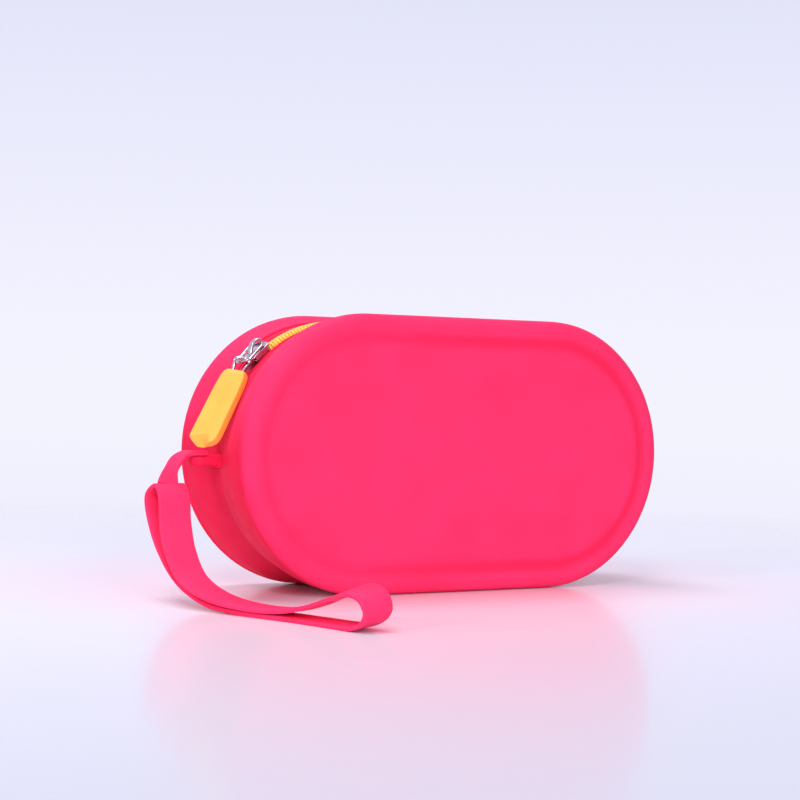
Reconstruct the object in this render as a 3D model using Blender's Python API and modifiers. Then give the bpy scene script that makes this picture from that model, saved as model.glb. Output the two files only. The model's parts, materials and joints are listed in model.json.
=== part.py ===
"""A silicone makeup bag: a moulded hollow shell, its zip, slider and grip, and a wrist strap on a lug.

Metres, +Z up. The pieces are laid out round the bag's own middle: X along its length, Y through it from
front (-Y) to back, and Z up from the surface it stands on. A parent empty then carries everything so that
the world origin is the middle of the front rim's foot.
"""

import math

import bmesh
import bpy
from mathutils import Euler, Matrix, Vector

MM = 0.001
SAME_PLACE = 0.001 * MM

# The shell
BAG_LENGTH = 188.4 * MM
BAG_HEIGHT = 105.0 * MM
BAG_DEPTH = 57.6 * MM
FACE_WALL = 2.4 * MM
SIDE_WALL = 1.8 * MM
GUSSET_SINK = 3.4 * MM
GUSSET_HALF = 12.0 * MM
RIM_FOOT_WIDTH = 2.4 * MM
RIM_ROUND = 5.2 * MM
GROOVE_INSET = 9.0 * MM
GROOVE_HALF = 2.0 * MM
GROOVE_DEPTH = 1.0 * MM
SHELL_ARC_STEPS = 28

# The lug for the strap, moulded with the shell
LUG_REACH = 11.6 * MM
LUG_HALF_WIDTH = 3.9 * MM
LUG_THICKNESS = 3.0 * MM
LUG_EDGE = 0.7 * MM
LUG_HEIGHT = 49.2 * MM
LUG_HOLE = 3.8 * MM
LUG_RECESS = 5.8 * MM
LUG_RECESS_DEPTH = 1.4 * MM

# The zip
FIT_GAP = 0.3 * MM
SLOT_HALF = 5.0 * MM
SLOT_ARC = math.radians(54.0)
ARC_STEP = 4.5 * MM
TAPE_THICKNESS = 0.6 * MM
TAPE_HALF = 14.0 * MM
TAPE_PAST_SLOT = 5.0 * MM
CHAIN_HALF = 3.1 * MM
CHAIN_HEIGHT = 2.7 * MM
CHAIN_SHOULDER = 0.8 * MM
CHAIN_DIP = 0.4 * MM
TOOTH_PITCH = 2.0 * MM
TOOTH_REACH = 0.8 * MM
STOP_LENGTH = 1.8 * MM
STOP_EDGE = 0.4 * MM
END_STOP_LENGTH = 3.0 * MM
CHAIN_FROM_SLOT_END = 5.2 * MM
STITCH_FROM_SLOT = 1.7 * MM
STITCH_LENGTH = 4.0 * MM
STITCH_WAVE = 0.15 * MM
THREAD = 0.6 * MM
CHANNEL_WIDTH = 1.4 * MM
CHANNEL_DEPTH = 0.6 * MM

# The slider
SLIDER_ARC = math.radians(42.6)
SLIDER_LENGTH = 10.0 * MM
SLIDER_HALF = 4.5 * MM
SLIDER_CORNER = 1.8 * MM
PLATE = 1.1 * MM
PLATE_EDGE = 0.35 * MM
FLANGE = 0.9 * MM
WEDGE_LENGTH = 3.0 * MM
WEDGE_HALF = 1.2 * MM
WEDGE_INSET = 0.5 * MM
CROWN_HALF = 1.3 * MM
CROWN_BAND = 0.9 * MM
CROWN_REAR = 4.3 * MM
CROWN_FRONT = 3.0 * MM
CROWN_EDGE = 0.7 * MM
WINDOW_HALF = 1.5 * MM
RING_AT = 2.0 * MM

# The pull: a flat ring, a wire link and a rubber grip
RING_LENGTH = 11.6 * MM
RING_HALF = 4.4 * MM
RING_BAR = 1.2 * MM
RING_THICKNESS = 1.0 * MM
RING_CORNER = 2.4 * MM
RING_EDGE = 0.25 * MM
RING_LEAN = math.radians(18.0)
RING_TWIST = math.radians(4.0)
RING_LIFT = math.radians(2.0)
LINK_WIRE = 1.2 * MM
LINK_BURIED = 4.0 * MM
GRIP_START = 4.4 * MM
GRIP_CORNER = 1.0 * MM
GRIP_BEND = math.radians(-20.5)
GRIP_LEAN = math.radians(-10.0)
GRIP_TWIST = math.radians(14.0)
# The grip's sections in millimetres: how far from its top end, its half width, its under and upper side.
# The last three are its pointed lower end, cut away on the upper side.
GRIP_SECTIONS = (
    (0.0, 3.7, -1.0, 1.0),
    (0.5, 4.4, -1.4, 1.4),
    (1.4, 5.0, -1.7, 1.7),
    (4.4, 5.6, -1.7, 1.7),
    (9.0, 5.9, -1.7, 1.7),
    (27.4, 6.2, -1.7, 1.7),
    (29.0, 6.0, -1.7, 1.1),
    (30.6, 5.0, -1.6, 0.3),
    (31.8, 3.2, -1.3, -0.4),
)

# The wrist strap
STRAP_WIDTH = 12.4 * MM
STRAP_THICKNESS = 1.6 * MM
STRAP_EDGE = 0.45 * MM
NECK_WIDTH = 5.0 * MM
NECK_THICKNESS = 1.9 * MM
STUD_GAP = 0.4 * MM
STUD_HEAD = 5.1 * MM
STEPS_PER_SPAN = 4
WIRE_SIDES = 8
ROUND_SIDES = 20

# The strap's route, a closed loop from its crown down to the ground, round its free end and back up.
# Each row has x and y from the hole in the lug and z from the ground, in millimetres, for its middle line,
# then the heading and the rise of its width in degrees.
STRAP_ROUTE = (
    (-12.9, -3.6, 40.5, 3, 0),
    (-13.5, -8.4, 36.5, 3, 0),
    (-15.2, -13.0, 28.0, 4, 2),
    (-17.2, -21.5, 18.8, 7, 4),
    (-17.6, -33.0, 9.8, 12, 4),
    (-14.8, -47.0, 4.8, 17, 2),
    (-9.7, -62.0, 2.8, 20, 0),
    (-3.7, -77.0, 3.0, 21, 0),
    (1.2, -90.0, 6.0, 20, 4),
    (5.3, -102.0, 10.4, 18, 9),
    (8.3, -111.5, 12.2, 14, 13),
    (10.5, -117.6, 7.8, 10, 14),
    (8.5, -115.8, 2.6, 12, 8),
    (5.5, -106.5, 1.0, 16, 2),
    (1.4, -91.5, 0.8, 20, 0),
    (-3.0, -77.0, 0.8, 21, 0),
    (-8.1, -61.5, 0.8, 20, 0),
    (-12.8, -44.0, 2.2, 17, 2),
    (-15.8, -28.0, 8.4, 12, 5),
    (-16.0, -15.0, 18.0, 7, 4),
    (-14.8, -5.4, 28.0, 4, 2),
    (-13.8, -0.2, 36.2, 3, 0),
)
# The neck's route from the lug out and down to the strap's crown, in the same terms.
NECK_HEIGHT = (LUG_HEIGHT + LUG_THICKNESS / 2 + STUD_GAP + NECK_THICKNESS / 2) / MM
NECK_ROUTE = (
    (2.4, 0.0, NECK_HEIGHT, 90, 0),
    (-1.7, 0.0, NECK_HEIGHT, 92, 0),
    (-5.8, -0.4, 50.8, 105, 8),
    (-9.2, -1.2, 48.0, 140, 12),
    (-11.6, -2.4, 44.2, 170, 4),
    (-12.9, -3.6, 40.5, 183, 0),
)

# Worked out from the sizes above
RIM = BAG_HEIGHT / 2
ARC_X = BAG_LENGTH / 2 - RIM
HALF_DEPTH = BAG_DEPTH / 2
FOOT_INNER = HALF_DEPTH - RIM_ROUND - RIM_FOOT_WIDTH
FOOT_Y = FOOT_INNER + RIM_FOOT_WIDTH / 2
GUSSET = RIM - GUSSET_SINK
INNER = GUSSET - SIDE_WALL
TAPE_TOP = INNER - FIT_GAP
TAPE_BOTTOM = TAPE_TOP - TAPE_THICKNESS
CHAIN_BOTTOM = TAPE_TOP + FIT_GAP
CHAIN_TOP = CHAIN_BOTTOM + CHAIN_HEIGHT
CHAIN_MID = (CHAIN_BOTTOM + CHAIN_TOP) / 2
SLOT_END = ARC_X + CHAIN_MID * SLOT_ARC
SLIDER_AT = -(ARC_X + CHAIN_MID * SLIDER_ARC)
WEDGE_TIP = SLIDER_LENGTH / 2 - WEDGE_INSET - WEDGE_LENGTH
CHAIN_START = SLIDER_AT - WEDGE_TIP + FIT_GAP
CHAIN_END = SLOT_END - CHAIN_FROM_SLOT_END
PLATE_UNDER = CHAIN_TOP + FIT_GAP
PLATE_TOP = PLATE_UNDER + PLATE
FLANGE_FOOT = TAPE_TOP + FIT_GAP
LOW_PLATE_TOP = math.sqrt((TAPE_BOTTOM - FIT_GAP) ** 2 - (SLIDER_LENGTH / 2) ** 2)
RING_SWING = math.hypot(RING_BAR, RING_THICKNESS) / 2
RING_PLAY = FIT_GAP + CROWN_HALF * math.sin(RING_TWIST)
RING_HEIGHT = PLATE_TOP + RING_SWING + RING_PLAY
WINDOW_TOP = RING_HEIGHT + RING_SWING + RING_PLAY
CROWN_TOP = WINDOW_TOP + CROWN_BAND
LINK_SWING = RING_SWING + LINK_WIRE / 2 + FIT_GAP
LINK_HALF = RING_HALF - RING_BAR - LINK_WIRE / 2 - FIT_GAP
LUG_X = -ARC_X - GUSSET - LUG_REACH + LUG_HALF_WIDTH


def clear_scene():
    for old in list(bpy.data.objects):
        bpy.data.objects.remove(old, do_unlink=True)


def new_collection(name, helper=False):
    made = bpy.data.collections.new(name)
    made.hide_render = helper
    bpy.context.scene.collection.children.link(made)
    return made


def material(name, colour, roughness, metallic=0.0):
    made = bpy.data.materials.new(name)
    made.use_nodes = True
    shader = made.node_tree.nodes["Principled BSDF"]
    shader.inputs["Base Color"].default_value = (*colour, 1.0)
    shader.inputs["Roughness"].default_value = roughness
    shader.inputs["Metallic"].default_value = metallic
    made.diffuse_color = (*colour, 1.0)
    return made


def empty(name, location, parent=None, rotation=(0.0, 0.0, 0.0)):
    made = bpy.data.objects.new(name, None)
    made.empty_display_size = 5 * MM
    made.location = location
    made.rotation_euler = rotation
    made.parent = parent
    bpy.context.scene.collection.objects.link(made)
    return made


def add_object(name, bm, collection, look=None, parent=None, location=(0.0, 0.0, 0.0)):
    """A mesh object from a bmesh, with its faces turned outwards. One without a look is a cutter."""
    bmesh.ops.recalc_face_normals(bm, faces=bm.faces)
    mesh = bpy.data.meshes.new(name)
    bm.to_mesh(mesh)
    bm.free()
    made = bpy.data.objects.new(name, mesh)
    made.parent = parent
    made.location = location
    collection.objects.link(made)
    if look:
        mesh.materials.append(look)
        mesh.shade_smooth()
        mesh.set_sharp_from_angle(angle=math.radians(40))
    else:
        made.hide_render = True
        made.display_type = "WIRE"
    return made


def boolean(target, operation, other):
    change = target.modifiers.new(operation.title() + " " + other.name, "BOOLEAN")
    change.operation = operation
    change.object = other


def loft(loops, closed=False):
    """A skin through loops of equally many points, with flat ends unless it closes on itself."""
    bm = bmesh.new()
    rings = [[bm.verts.new(point) for point in loop] for loop in loops]
    count = len(rings[0])
    following = rings[1:] + rings[:1] if closed else rings[1:]
    for ring, after in zip(rings, following):
        for i in range(count):
            j = (i + 1) % count
            bm.faces.new((ring[i], ring[j], after[j], after[i]))
    if not closed:
        bm.faces.new(rings[0])
        bm.faces.new(rings[-1])
    bmesh.ops.remove_doubles(bm, verts=bm.verts, dist=SAME_PLACE)
    return bm


def quarter(steps):
    """(share of the way in, share of the way out) along a quarter circle, from an edge round to a face."""
    angles = [math.radians(90) * step / steps for step in range(steps + 1)]
    return [(1 - math.cos(angle), math.sin(angle)) for angle in angles]


def rounded_rectangle(half_x, half_y, corner, inset=0.0, steps=3):
    """Points round a rectangle with rounded corners, drawn in by an inset."""
    centre_x, centre_y = half_x - corner, half_y - corner
    radius = max(corner - inset, 0.05 * MM)
    loop = []
    for number, (side_x, side_y) in enumerate(((1, 1), (-1, 1), (-1, -1), (1, -1))):
        for step in range(steps + 1):
            angle = math.radians(90) * (number + step / steps)
            x = side_x * centre_x + radius * math.cos(angle)
            loop.append((x, side_y * centre_y + radius * math.sin(angle)))
    return loop


def slab(half_x, half_y, corner, thickness, edge):
    """A flat plate with rounded corners and eased edges, about the middle."""
    low = [(edge * (1 - out), -thickness / 2 + edge * into) for into, out in quarter(2)]
    levels = low + [(inset, -height) for inset, height in reversed(low)]
    loops = []
    for inset, height in levels:
        outline = rounded_rectangle(half_x, half_y, corner, inset)
        loops.append([Vector((x, y, height)) for x, y in outline])
    return loft(loops)


def cylinder(diameter, length):
    bm = bmesh.new()
    bmesh.ops.create_cone(
        bm,
        cap_ends=True,
        segments=ROUND_SIDES,
        radius1=diameter / 2,
        radius2=diameter / 2,
        depth=length,
    )
    return bm


def tube(points, radius):
    """A round wire along a run of points, with its sections square to the run."""
    runs = [(after - before).normalized() for before, after in zip(points, points[1:])]
    side = runs[0].orthogonal()
    loops = []
    for number, point in enumerate(points):
        before = runs[max(number - 1, 0)]
        after = runs[min(number, len(runs) - 1)]
        ahead = (before + after).normalized()
        side = (side - ahead * side.dot(ahead)).normalized()
        up = ahead.cross(side)
        turns = [math.tau * step / WIRE_SIDES for step in range(WIRE_SIDES)]
        loops.append([point + radius * (side * math.cos(turn) + up * math.sin(turn)) for turn in turns])
    return loft(loops)


def eased(rows, share):
    """The row part of the way from the second to the third of four, on a smooth run through them all."""
    values = []
    for before, start, end, after in zip(*rows):
        leaving, arriving = (end - before) / 2, (after - start) / 2
        squared, cubed = share**2, share**3
        value = start * (2 * cubed - 3 * squared + 1) + leaving * (cubed - 2 * squared + share)
        value += end * (3 * squared - 2 * cubed) + arriving * (cubed - squared)
        values.append(value)
    return values


def smooth_route(route, closed):
    """The rows of a route with eased rows put between them."""
    count = len(route)
    run = []
    for span in range(count if closed else count - 1):
        near = range(span - 1, span + 3)
        rows = [route[n % count] if closed else route[min(max(n, 0), count - 1)] for n in near]
        run += [eased(rows, step / STEPS_PER_SPAN) for step in range(STEPS_PER_SPAN)]
    return run if closed else run + [route[-1]]


def band(route, width, thickness, closed=False):
    """A flat band along a route, with eased edges, and nowhere below the ground."""
    rows = smooth_route(route, closed)
    places = [Vector(row[:3]) * MM for row in rows]
    half_w, half_t = width / 2, thickness / 2
    corner = ((half_w, half_t - STRAP_EDGE), (half_w - STRAP_EDGE, half_t))
    section = list(corner) + [(-w, t) for w, t in reversed(corner)]
    section += [(-w, -t) for w, t in section]
    loops = []
    for number, (place, row) in enumerate(zip(places, rows)):
        last = len(places) - 1
        before = places[number - 1] if closed or number else place
        after = places[0 if number == last else number + 1] if closed or number < last else place
        ahead = (after - before).normalized()
        heading, rise = math.radians(row[3]), math.radians(row[4])
        flat = math.cos(rise)
        across = Vector((flat * math.cos(heading), flat * math.sin(heading), math.sin(rise)))
        outward = ahead.cross(across).normalized()
        across = outward.cross(ahead)
        loop = [place + across * w + outward * t for w, t in section]
        for point in loop:
            point.z = max(point.z, 0.0)
        loops.append(loop)
    return loft(loops, closed)


def stadium(inset, y):
    """The bag's outline drawn in by an inset, at one depth: two half circles joined by straights."""
    radius = RIM - inset
    loop = []
    for side in (1, -1):
        for step in range(SHELL_ARC_STEPS + 1):
            angle = math.radians(90) - math.pi * step / SHELL_ARC_STEPS
            across = side * (ARC_X + radius * math.cos(angle))
            loop.append(Vector((across, y, RIM + side * radius * math.sin(angle))))
    return loop


def outer_profile():
    """(inset, distance from the middle plane) from the gusset's middle out over the rim to the panel."""
    slope = FOOT_INNER - GUSSET_HALF
    profile = [(GUSSET_SINK, 0.0), (GUSSET_SINK, GUSSET_HALF)]
    profile += [(GUSSET_SINK * 0.62, GUSSET_HALF + slope * 0.42)]
    profile += [(GUSSET_SINK * 0.16, GUSSET_HALF + slope * 0.75), (0.0, FOOT_INNER)]
    for inward, outward in quarter(4):
        profile.append((RIM_ROUND * inward, HALF_DEPTH - RIM_ROUND * (1 - outward)))
    profile += [
        (GROOVE_INSET - GROOVE_HALF, HALF_DEPTH - GROOVE_DEPTH * 0.1),
        (GROOVE_INSET - GROOVE_HALF * 0.3, HALF_DEPTH - GROOVE_DEPTH * 0.9),
        (GROOVE_INSET + GROOVE_HALF * 0.3, HALF_DEPTH - GROOVE_DEPTH),
        (GROOVE_INSET + GROOVE_HALF * 1.4, HALF_DEPTH - GROOVE_DEPTH * 0.2),
    ]
    return profile


def core_profile():
    """The same for the hollow, a wall's thickness inside."""
    inner_round = RIM_ROUND - SIDE_WALL
    face = HALF_DEPTH - FACE_WALL
    profile = [(GUSSET_SINK + SIDE_WALL, 0.0)]
    profile += [(GUSSET_SINK + SIDE_WALL, GUSSET_HALF + SIDE_WALL / 2)]
    profile += [(SIDE_WALL, FOOT_INNER + SIDE_WALL / 2)]
    for inward, outward in quarter(3):
        profile.append((SIDE_WALL + inner_round * inward, face - inner_round * (1 - outward)))
    return profile


def mirrored_form(name, profile, collection, look, parent):
    """A form of the bag's outline: the front half from its profile, and a Mirror for the back half."""
    bm = loft([stadium(inset, -distance) for inset, distance in profile])
    open_end = [face for face in bm.faces if all(abs(v.co.y) < 1e-9 for v in face.verts)]
    bmesh.ops.delete(bm, geom=open_end, context="FACES_ONLY")
    bm.faces.ensure_lookup_table()
    made = add_object(name, bm, collection, look, parent)
    mirror = made.modifiers.new("Back half", "MIRROR")
    mirror.use_axis = (False, True, False)
    mirror.merge_threshold = 0.00001
    return made


def zip_point(along, radius, y):
    """A point on the zip's line: its run from the top's middle, its distance out and its depth."""
    side = math.copysign(1.0, along)
    turn = max(abs(along) - ARC_X, 0.0) / CHAIN_MID
    across = side * (min(abs(along), ARC_X) + radius * math.sin(turn))
    return Vector((across, y, RIM + radius * math.cos(turn)))


def zip_places(start, end, arc_step=ARC_STEP, straight_step=2 * ARC_X):
    """Places along the zip's line, closer together round the ends than on the straight."""
    places = [start]
    runs = ((start, -ARC_X, arc_step), (-ARC_X, ARC_X, straight_step), (ARC_X, end, arc_step))
    for low, high, step in runs:
        count = max(1, round((high - low) / step))
        places += [low + (high - low) * i / count for i in range(1, count + 1)]
    return places


def zip_strip(place_list, section):
    """A strip along the zip's line, whose section gives (y, radius) corners at each place."""
    loops = []
    for along in place_list:
        loops.append([zip_point(along, radius, y) for y, radius in section(along)])
    return loft(loops)


def slot_form():
    """The band through the gusset that the zip shows in, with half-round ends."""
    straight_end = SLOT_END - SLOT_HALF
    turns = [math.radians(angle) for angle in (20, 40, 60, 80)]
    tips = [straight_end + SLOT_HALF * math.sin(turn) for turn in turns]
    places = [-tip for tip in reversed(tips)] + zip_places(-straight_end, straight_end) + tips

    def section(along):
        past = max(abs(along) - straight_end, 0.0)
        half = math.sqrt(SLOT_HALF**2 - past**2)
        low, high = INNER - SIDE_WALL, RIM + SIDE_WALL
        return ((-half, low), (half, low), (half, high), (-half, high))

    return zip_strip(places, section)


def slot_track(past, straight_step=2 * ARC_X):
    """(along, y) round the slot's outline, grown outwards by a distance."""
    half = SLOT_HALF + past
    straight_end = SLOT_END - SLOT_HALF
    places = zip_places(-straight_end, straight_end, STITCH_LENGTH / 2, straight_step)
    turns = [math.pi * step / 8 for step in range(1, 8)]
    track = [(along, -half) for along in places]
    track += [(straight_end + half * math.sin(turn), -half * math.cos(turn)) for turn in turns]
    track += [(along, half) for along in reversed(places)]
    track += [(-straight_end - half * math.sin(turn), half * math.cos(turn)) for turn in turns]
    return track


def slot_ring(width, low, high, straight_step=2 * ARC_X, wave=0.0):
    """A closed ring of square section round the slot, along the line of stitches."""
    inner = slot_track(STITCH_FROM_SLOT - width / 2, straight_step)
    outer = slot_track(STITCH_FROM_SLOT + width / 2, straight_step)
    loops = []
    for number, ((in_along, in_y), (out_along, out_y)) in enumerate(zip(inner, outer)):
        lift = wave if number % 2 else -wave
        loops.append(
            [
                zip_point(in_along, low, in_y),
                zip_point(out_along, low, out_y),
                zip_point(out_along, high + lift, out_y),
                zip_point(in_along, high + lift, in_y),
            ]
        )
    return loft(loops, closed=True)


def make_shell(parts, cutters, root, silicone):
    shell = mirrored_form("bag_shell", outer_profile(), parts, silicone, root)
    core = mirrored_form("hollow_core", core_profile(), cutters, None, root)
    # The tongue's root runs on into the hollow, where the core takes it away again.
    root_x = -ARC_X - INNER + LUG_HALF_WIDTH
    tip_x = -ARC_X - GUSSET - LUG_REACH
    lug = add_object(
        "lug_form",
        slab((root_x - tip_x) / 2, LUG_HALF_WIDTH, LUG_HALF_WIDTH, LUG_THICKNESS, LUG_EDGE),
        cutters,
        parent=root,
        location=((root_x + tip_x) / 2, 0.0, LUG_HEIGHT),
    )
    boolean(shell, "UNION", lug)
    boolean(shell, "DIFFERENCE", core)
    hole = cylinder(LUG_HOLE, 2 * LUG_THICKNESS)
    lug_hole = add_object("lug_hole", hole, cutters, parent=root, location=(LUG_X, 0.0, LUG_HEIGHT))
    boolean(shell, "DIFFERENCE", lug_hole)
    recess = cylinder(LUG_RECESS, 2 * LUG_RECESS_DEPTH)
    recess_at = (LUG_X, 0.0, LUG_HEIGHT - LUG_THICKNESS / 2)
    boolean(shell, "DIFFERENCE", add_object("lug_recess", recess, cutters, parent=root, location=recess_at))
    boolean(shell, "DIFFERENCE", add_object("zip_slot", slot_form(), cutters, parent=root))
    channel = slot_ring(CHANNEL_WIDTH, GUSSET - CHANNEL_DEPTH, RIM)
    boolean(shell, "DIFFERENCE", add_object("stitch_channel", channel, cutters, parent=root))


def tape_edge(along):
    """How far a tape's inner edge stays from the middle plane: it parts at the slider's wedge."""
    parted = WEDGE_HALF + FIT_GAP
    if along <= CHAIN_START - FIT_GAP:
        return parted
    return FIT_GAP / 2


def make_tapes(parts, root, cloth):
    end = SLOT_END + TAPE_PAST_SLOT
    places = zip_places(-end, end) + [CHAIN_START - FIT_GAP, CHAIN_START + FIT_GAP]
    for name, side in (("zip_tape_front", -1), ("zip_tape_back", 1)):

        def section(along, side=side):
            inner, outer = side * tape_edge(along), side * TAPE_HALF
            return ((outer, TAPE_BOTTOM), (inner, TAPE_BOTTOM), (inner, TAPE_TOP), (outer, TAPE_TOP))

        add_object(name, zip_strip(sorted(places), section), parts, cloth, root)


def make_chain(parts, root, nylon):
    """Two rows whose wavy inner edges interlock, a set gap apart square to the wave."""
    half_pitch = TOOTH_PITCH / 2
    slope = 2 * TOOTH_REACH / half_pitch
    gap = FIT_GAP * math.hypot(1.0, slope)
    count = int((CHAIN_END - CHAIN_START) / half_pitch)
    for name, side in (("zip_teeth_front", -1), ("zip_teeth_back", 1)):

        def section(along, side=side):
            number = round((along - CHAIN_START) / half_pitch)
            wave = TOOTH_REACH if number % 2 else -TOOTH_REACH
            edge = wave + side * gap / 2
            top = CHAIN_TOP if wave * side < 0 else CHAIN_TOP - CHAIN_DIP
            outer = side * CHAIN_HALF
            ridge = side * (CHAIN_HALF - CHAIN_SHOULDER)
            return (
                (outer, CHAIN_BOTTOM),
                (outer, top - CHAIN_SHOULDER),
                (ridge, top),
                (edge, top - CHAIN_DIP / 2),
                (edge, CHAIN_BOTTOM),
            )

        places = [CHAIN_START + half_pitch * i for i in range(count + 1)]
        add_object(name, zip_strip(places, section), parts, nylon, root)
    return CHAIN_START + half_pitch * count


def block_on_tape(name, along, length, y_from, y_to, parts, root, look):
    """A small rounded block clinched on the tapes, square to the zip's line."""
    height = CHAIN_HEIGHT - STOP_EDGE
    half_y = (y_to - y_from) / 2
    bm = slab(length / 2, half_y, STOP_EDGE, height, STOP_EDGE)
    made = add_object(name, bm, parts, look, root)
    made.location = zip_point(along, CHAIN_BOTTOM + height / 2, (y_from + y_to) / 2)
    turn = max(abs(along) - ARC_X, 0.0) / CHAIN_MID
    made.rotation_euler = (0.0, math.copysign(turn, along), 0.0)


def make_stops(parts, root, metal, last_tooth):
    near = WEDGE_HALF + FIT_GAP
    at = CHAIN_START - FIT_GAP - STOP_LENGTH / 2
    far = SLIDER_HALF - FLANGE - FIT_GAP
    block_on_tape("top_stop_front", at, STOP_LENGTH, -far, -near, parts, root, metal)
    block_on_tape("top_stop_back", at, STOP_LENGTH, near, far, parts, root, metal)
    end_at = last_tooth + FIT_GAP + END_STOP_LENGTH / 2
    block_on_tape("end_stop", end_at, END_STOP_LENGTH, -CHAIN_HALF, CHAIN_HALF, parts, root, metal)


def make_stitching(parts, root, thread):
    low = GUSSET - CHANNEL_DEPTH + FIT_GAP
    bm = slot_ring(THREAD, low, low + THREAD, STITCH_LENGTH / 2, STITCH_WAVE)
    add_object("zip_stitching", bm, parts, thread, root)


def make_slider(parts, cutters, travel, metal):
    """The slider stands on the zip's arc: its X runs along the zip and its Z out from the arc's middle."""
    half = SLIDER_LENGTH / 2
    body = add_object(
        "slider_body",
        slab(half, SLIDER_HALF, SLIDER_CORNER, PLATE, PLATE_EDGE),
        parts,
        metal,
        travel,
    )
    body.data.transform(Matrix.Translation((0.0, 0.0, PLATE_TOP - PLATE / 2)))
    low_plate = slab(half, SLIDER_HALF, SLIDER_CORNER, PLATE, PLATE_EDGE)
    flange_height = PLATE_TOP - PLATE / 2 - FLANGE_FOOT
    pieces = {"slider_low_plate": (low_plate, (0.0, 0.0, LOW_PLATE_TOP - PLATE / 2))}
    for name, side in (("slider_flange_front", -1), ("slider_flange_back", 1)):
        flange = slab(half - SLIDER_CORNER, FLANGE / 2, FLANGE / 3, flange_height, PLATE_EDGE)
        place = (0.0, side * (SLIDER_HALF - FLANGE / 2), FLANGE_FOOT + flange_height / 2)
        pieces[name] = (flange, place)
    post = [
        Vector((-WEDGE_TIP - WEDGE_LENGTH, 0.0, 0.0)),
        Vector((-WEDGE_TIP - WEDGE_LENGTH * 0.7, -WEDGE_HALF, 0.0)),
        Vector((-WEDGE_TIP, 0.0, 0.0)),
        Vector((-WEDGE_TIP - WEDGE_LENGTH * 0.7, WEDGE_HALF, 0.0)),
    ]
    foot, head = LOW_PLATE_TOP - PLATE / 2, PLATE_TOP - PLATE / 2
    wedge = loft([[point + Vector((0, 0, height)) for point in post] for height in (foot, head)])
    pieces["slider_wedge"] = (wedge, (0.0, 0.0, 0.0))
    for name, (bm, place) in pieces.items():
        boolean(body, "UNION", add_object(name, bm, cutters, parent=travel, location=place))

    crown_low = PLATE_TOP + FIT_GAP
    crown = upright_slab(
        "slider_crown", (-CROWN_FRONT, CROWN_REAR), (crown_low, CROWN_TOP), CROWN_HALF, parts, travel, metal
    )
    window = upright_slab(
        "crown_window",
        (RING_AT - WINDOW_HALF, RING_AT + WINDOW_HALF),
        (PLATE_TOP, WINDOW_TOP),
        2 * CROWN_HALF,
        cutters,
        travel,
    )
    boolean(crown, "DIFFERENCE", window)


def upright_slab(name, along, height, half_thickness, collection, parent, look=None):
    """A slab standing on edge: its outline is in the slider's X and Z, and its thickness is across it."""
    half_along, half_height = (along[1] - along[0]) / 2, (height[1] - height[0]) / 2
    bm = slab(half_along, half_height, CROWN_EDGE, 2 * half_thickness, PLATE_EDGE)
    middle = Vector((along[0] + half_along, 0.0, height[0] + half_height))
    bm.transform(Matrix.Translation(middle) @ Matrix.Rotation(math.radians(90), 4, "X"))
    return add_object(name, bm, collection, look, parent)


def make_ring(parts, cutters, swing, metal):
    """A flat ring whose upper bar, the one in the crown, lies along its own Y at its origin."""
    middle = (-(RING_LENGTH - RING_BAR) / 2, 0.0, 0.0)
    outline = slab(RING_LENGTH / 2, RING_HALF, RING_CORNER, RING_THICKNESS, RING_EDGE)
    outline.transform(Matrix.Translation(middle))
    ring = add_object("pull_ring", outline, parts, metal, swing)
    opening = slab(
        RING_LENGTH / 2 - RING_BAR,
        RING_HALF - RING_BAR,
        RING_CORNER - RING_BAR,
        2 * RING_THICKNESS,
        RING_EDGE,
    )
    boolean(ring, "DIFFERENCE", add_object("ring_opening", opening, cutters, parent=swing, location=middle))


def link_path(buried):
    """The wire's run: from inside the grip round the ring's lower bar and back, half a turn of a screw."""
    lean = Euler((GRIP_TWIST, 0.0, GRIP_LEAN)).to_matrix()
    turns = [math.radians(angle) for angle in range(-90, 91, 20)]
    bend = []
    for turn in turns:
        across = LINK_HALF * turn / turns[-1]
        bend.append(Vector((LINK_SWING * math.cos(turn), across, LINK_SWING * math.sin(turn))))
    start = [lean @ Vector((-GRIP_START - reach, -LINK_HALF, 0.0)) for reach in (buried, 0.0)]
    end = [lean @ Vector((-GRIP_START - reach, LINK_HALF, 0.0)) for reach in (0.0, buried)]
    return start + bend + end


def make_grip(parts, cutters, swing, metal, rubber):
    """The wire link and the grip it is moulded into. The link keeps the ring's direction, the grip leans."""
    add_object("grip_link", tube(link_path(LINK_BURIED), LINK_WIRE / 2), parts, metal, swing)
    loops = []
    for along, half_width, low, high in GRIP_SECTIONS:
        half_height = (high - low) / 2 * MM
        corner = min(GRIP_CORNER, half_height * 0.7)
        outline = rounded_rectangle(half_width * MM, half_height, corner)
        across = -GRIP_START - along * MM
        middle = (high + low) / 2 * MM
        loops.append([Vector((across, y, middle + z)) for y, z in outline])
    grip = add_object("pull_grip", loft(loops), parts, rubber, swing)
    grip.rotation_euler = (GRIP_TWIST, 0.0, GRIP_LEAN)
    pocket = tube(link_path(LINK_BURIED + FIT_GAP), LINK_WIRE / 2 + FIT_GAP)
    boolean(grip, "DIFFERENCE", add_object("link_pocket", pocket, cutters, parent=swing))


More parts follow.
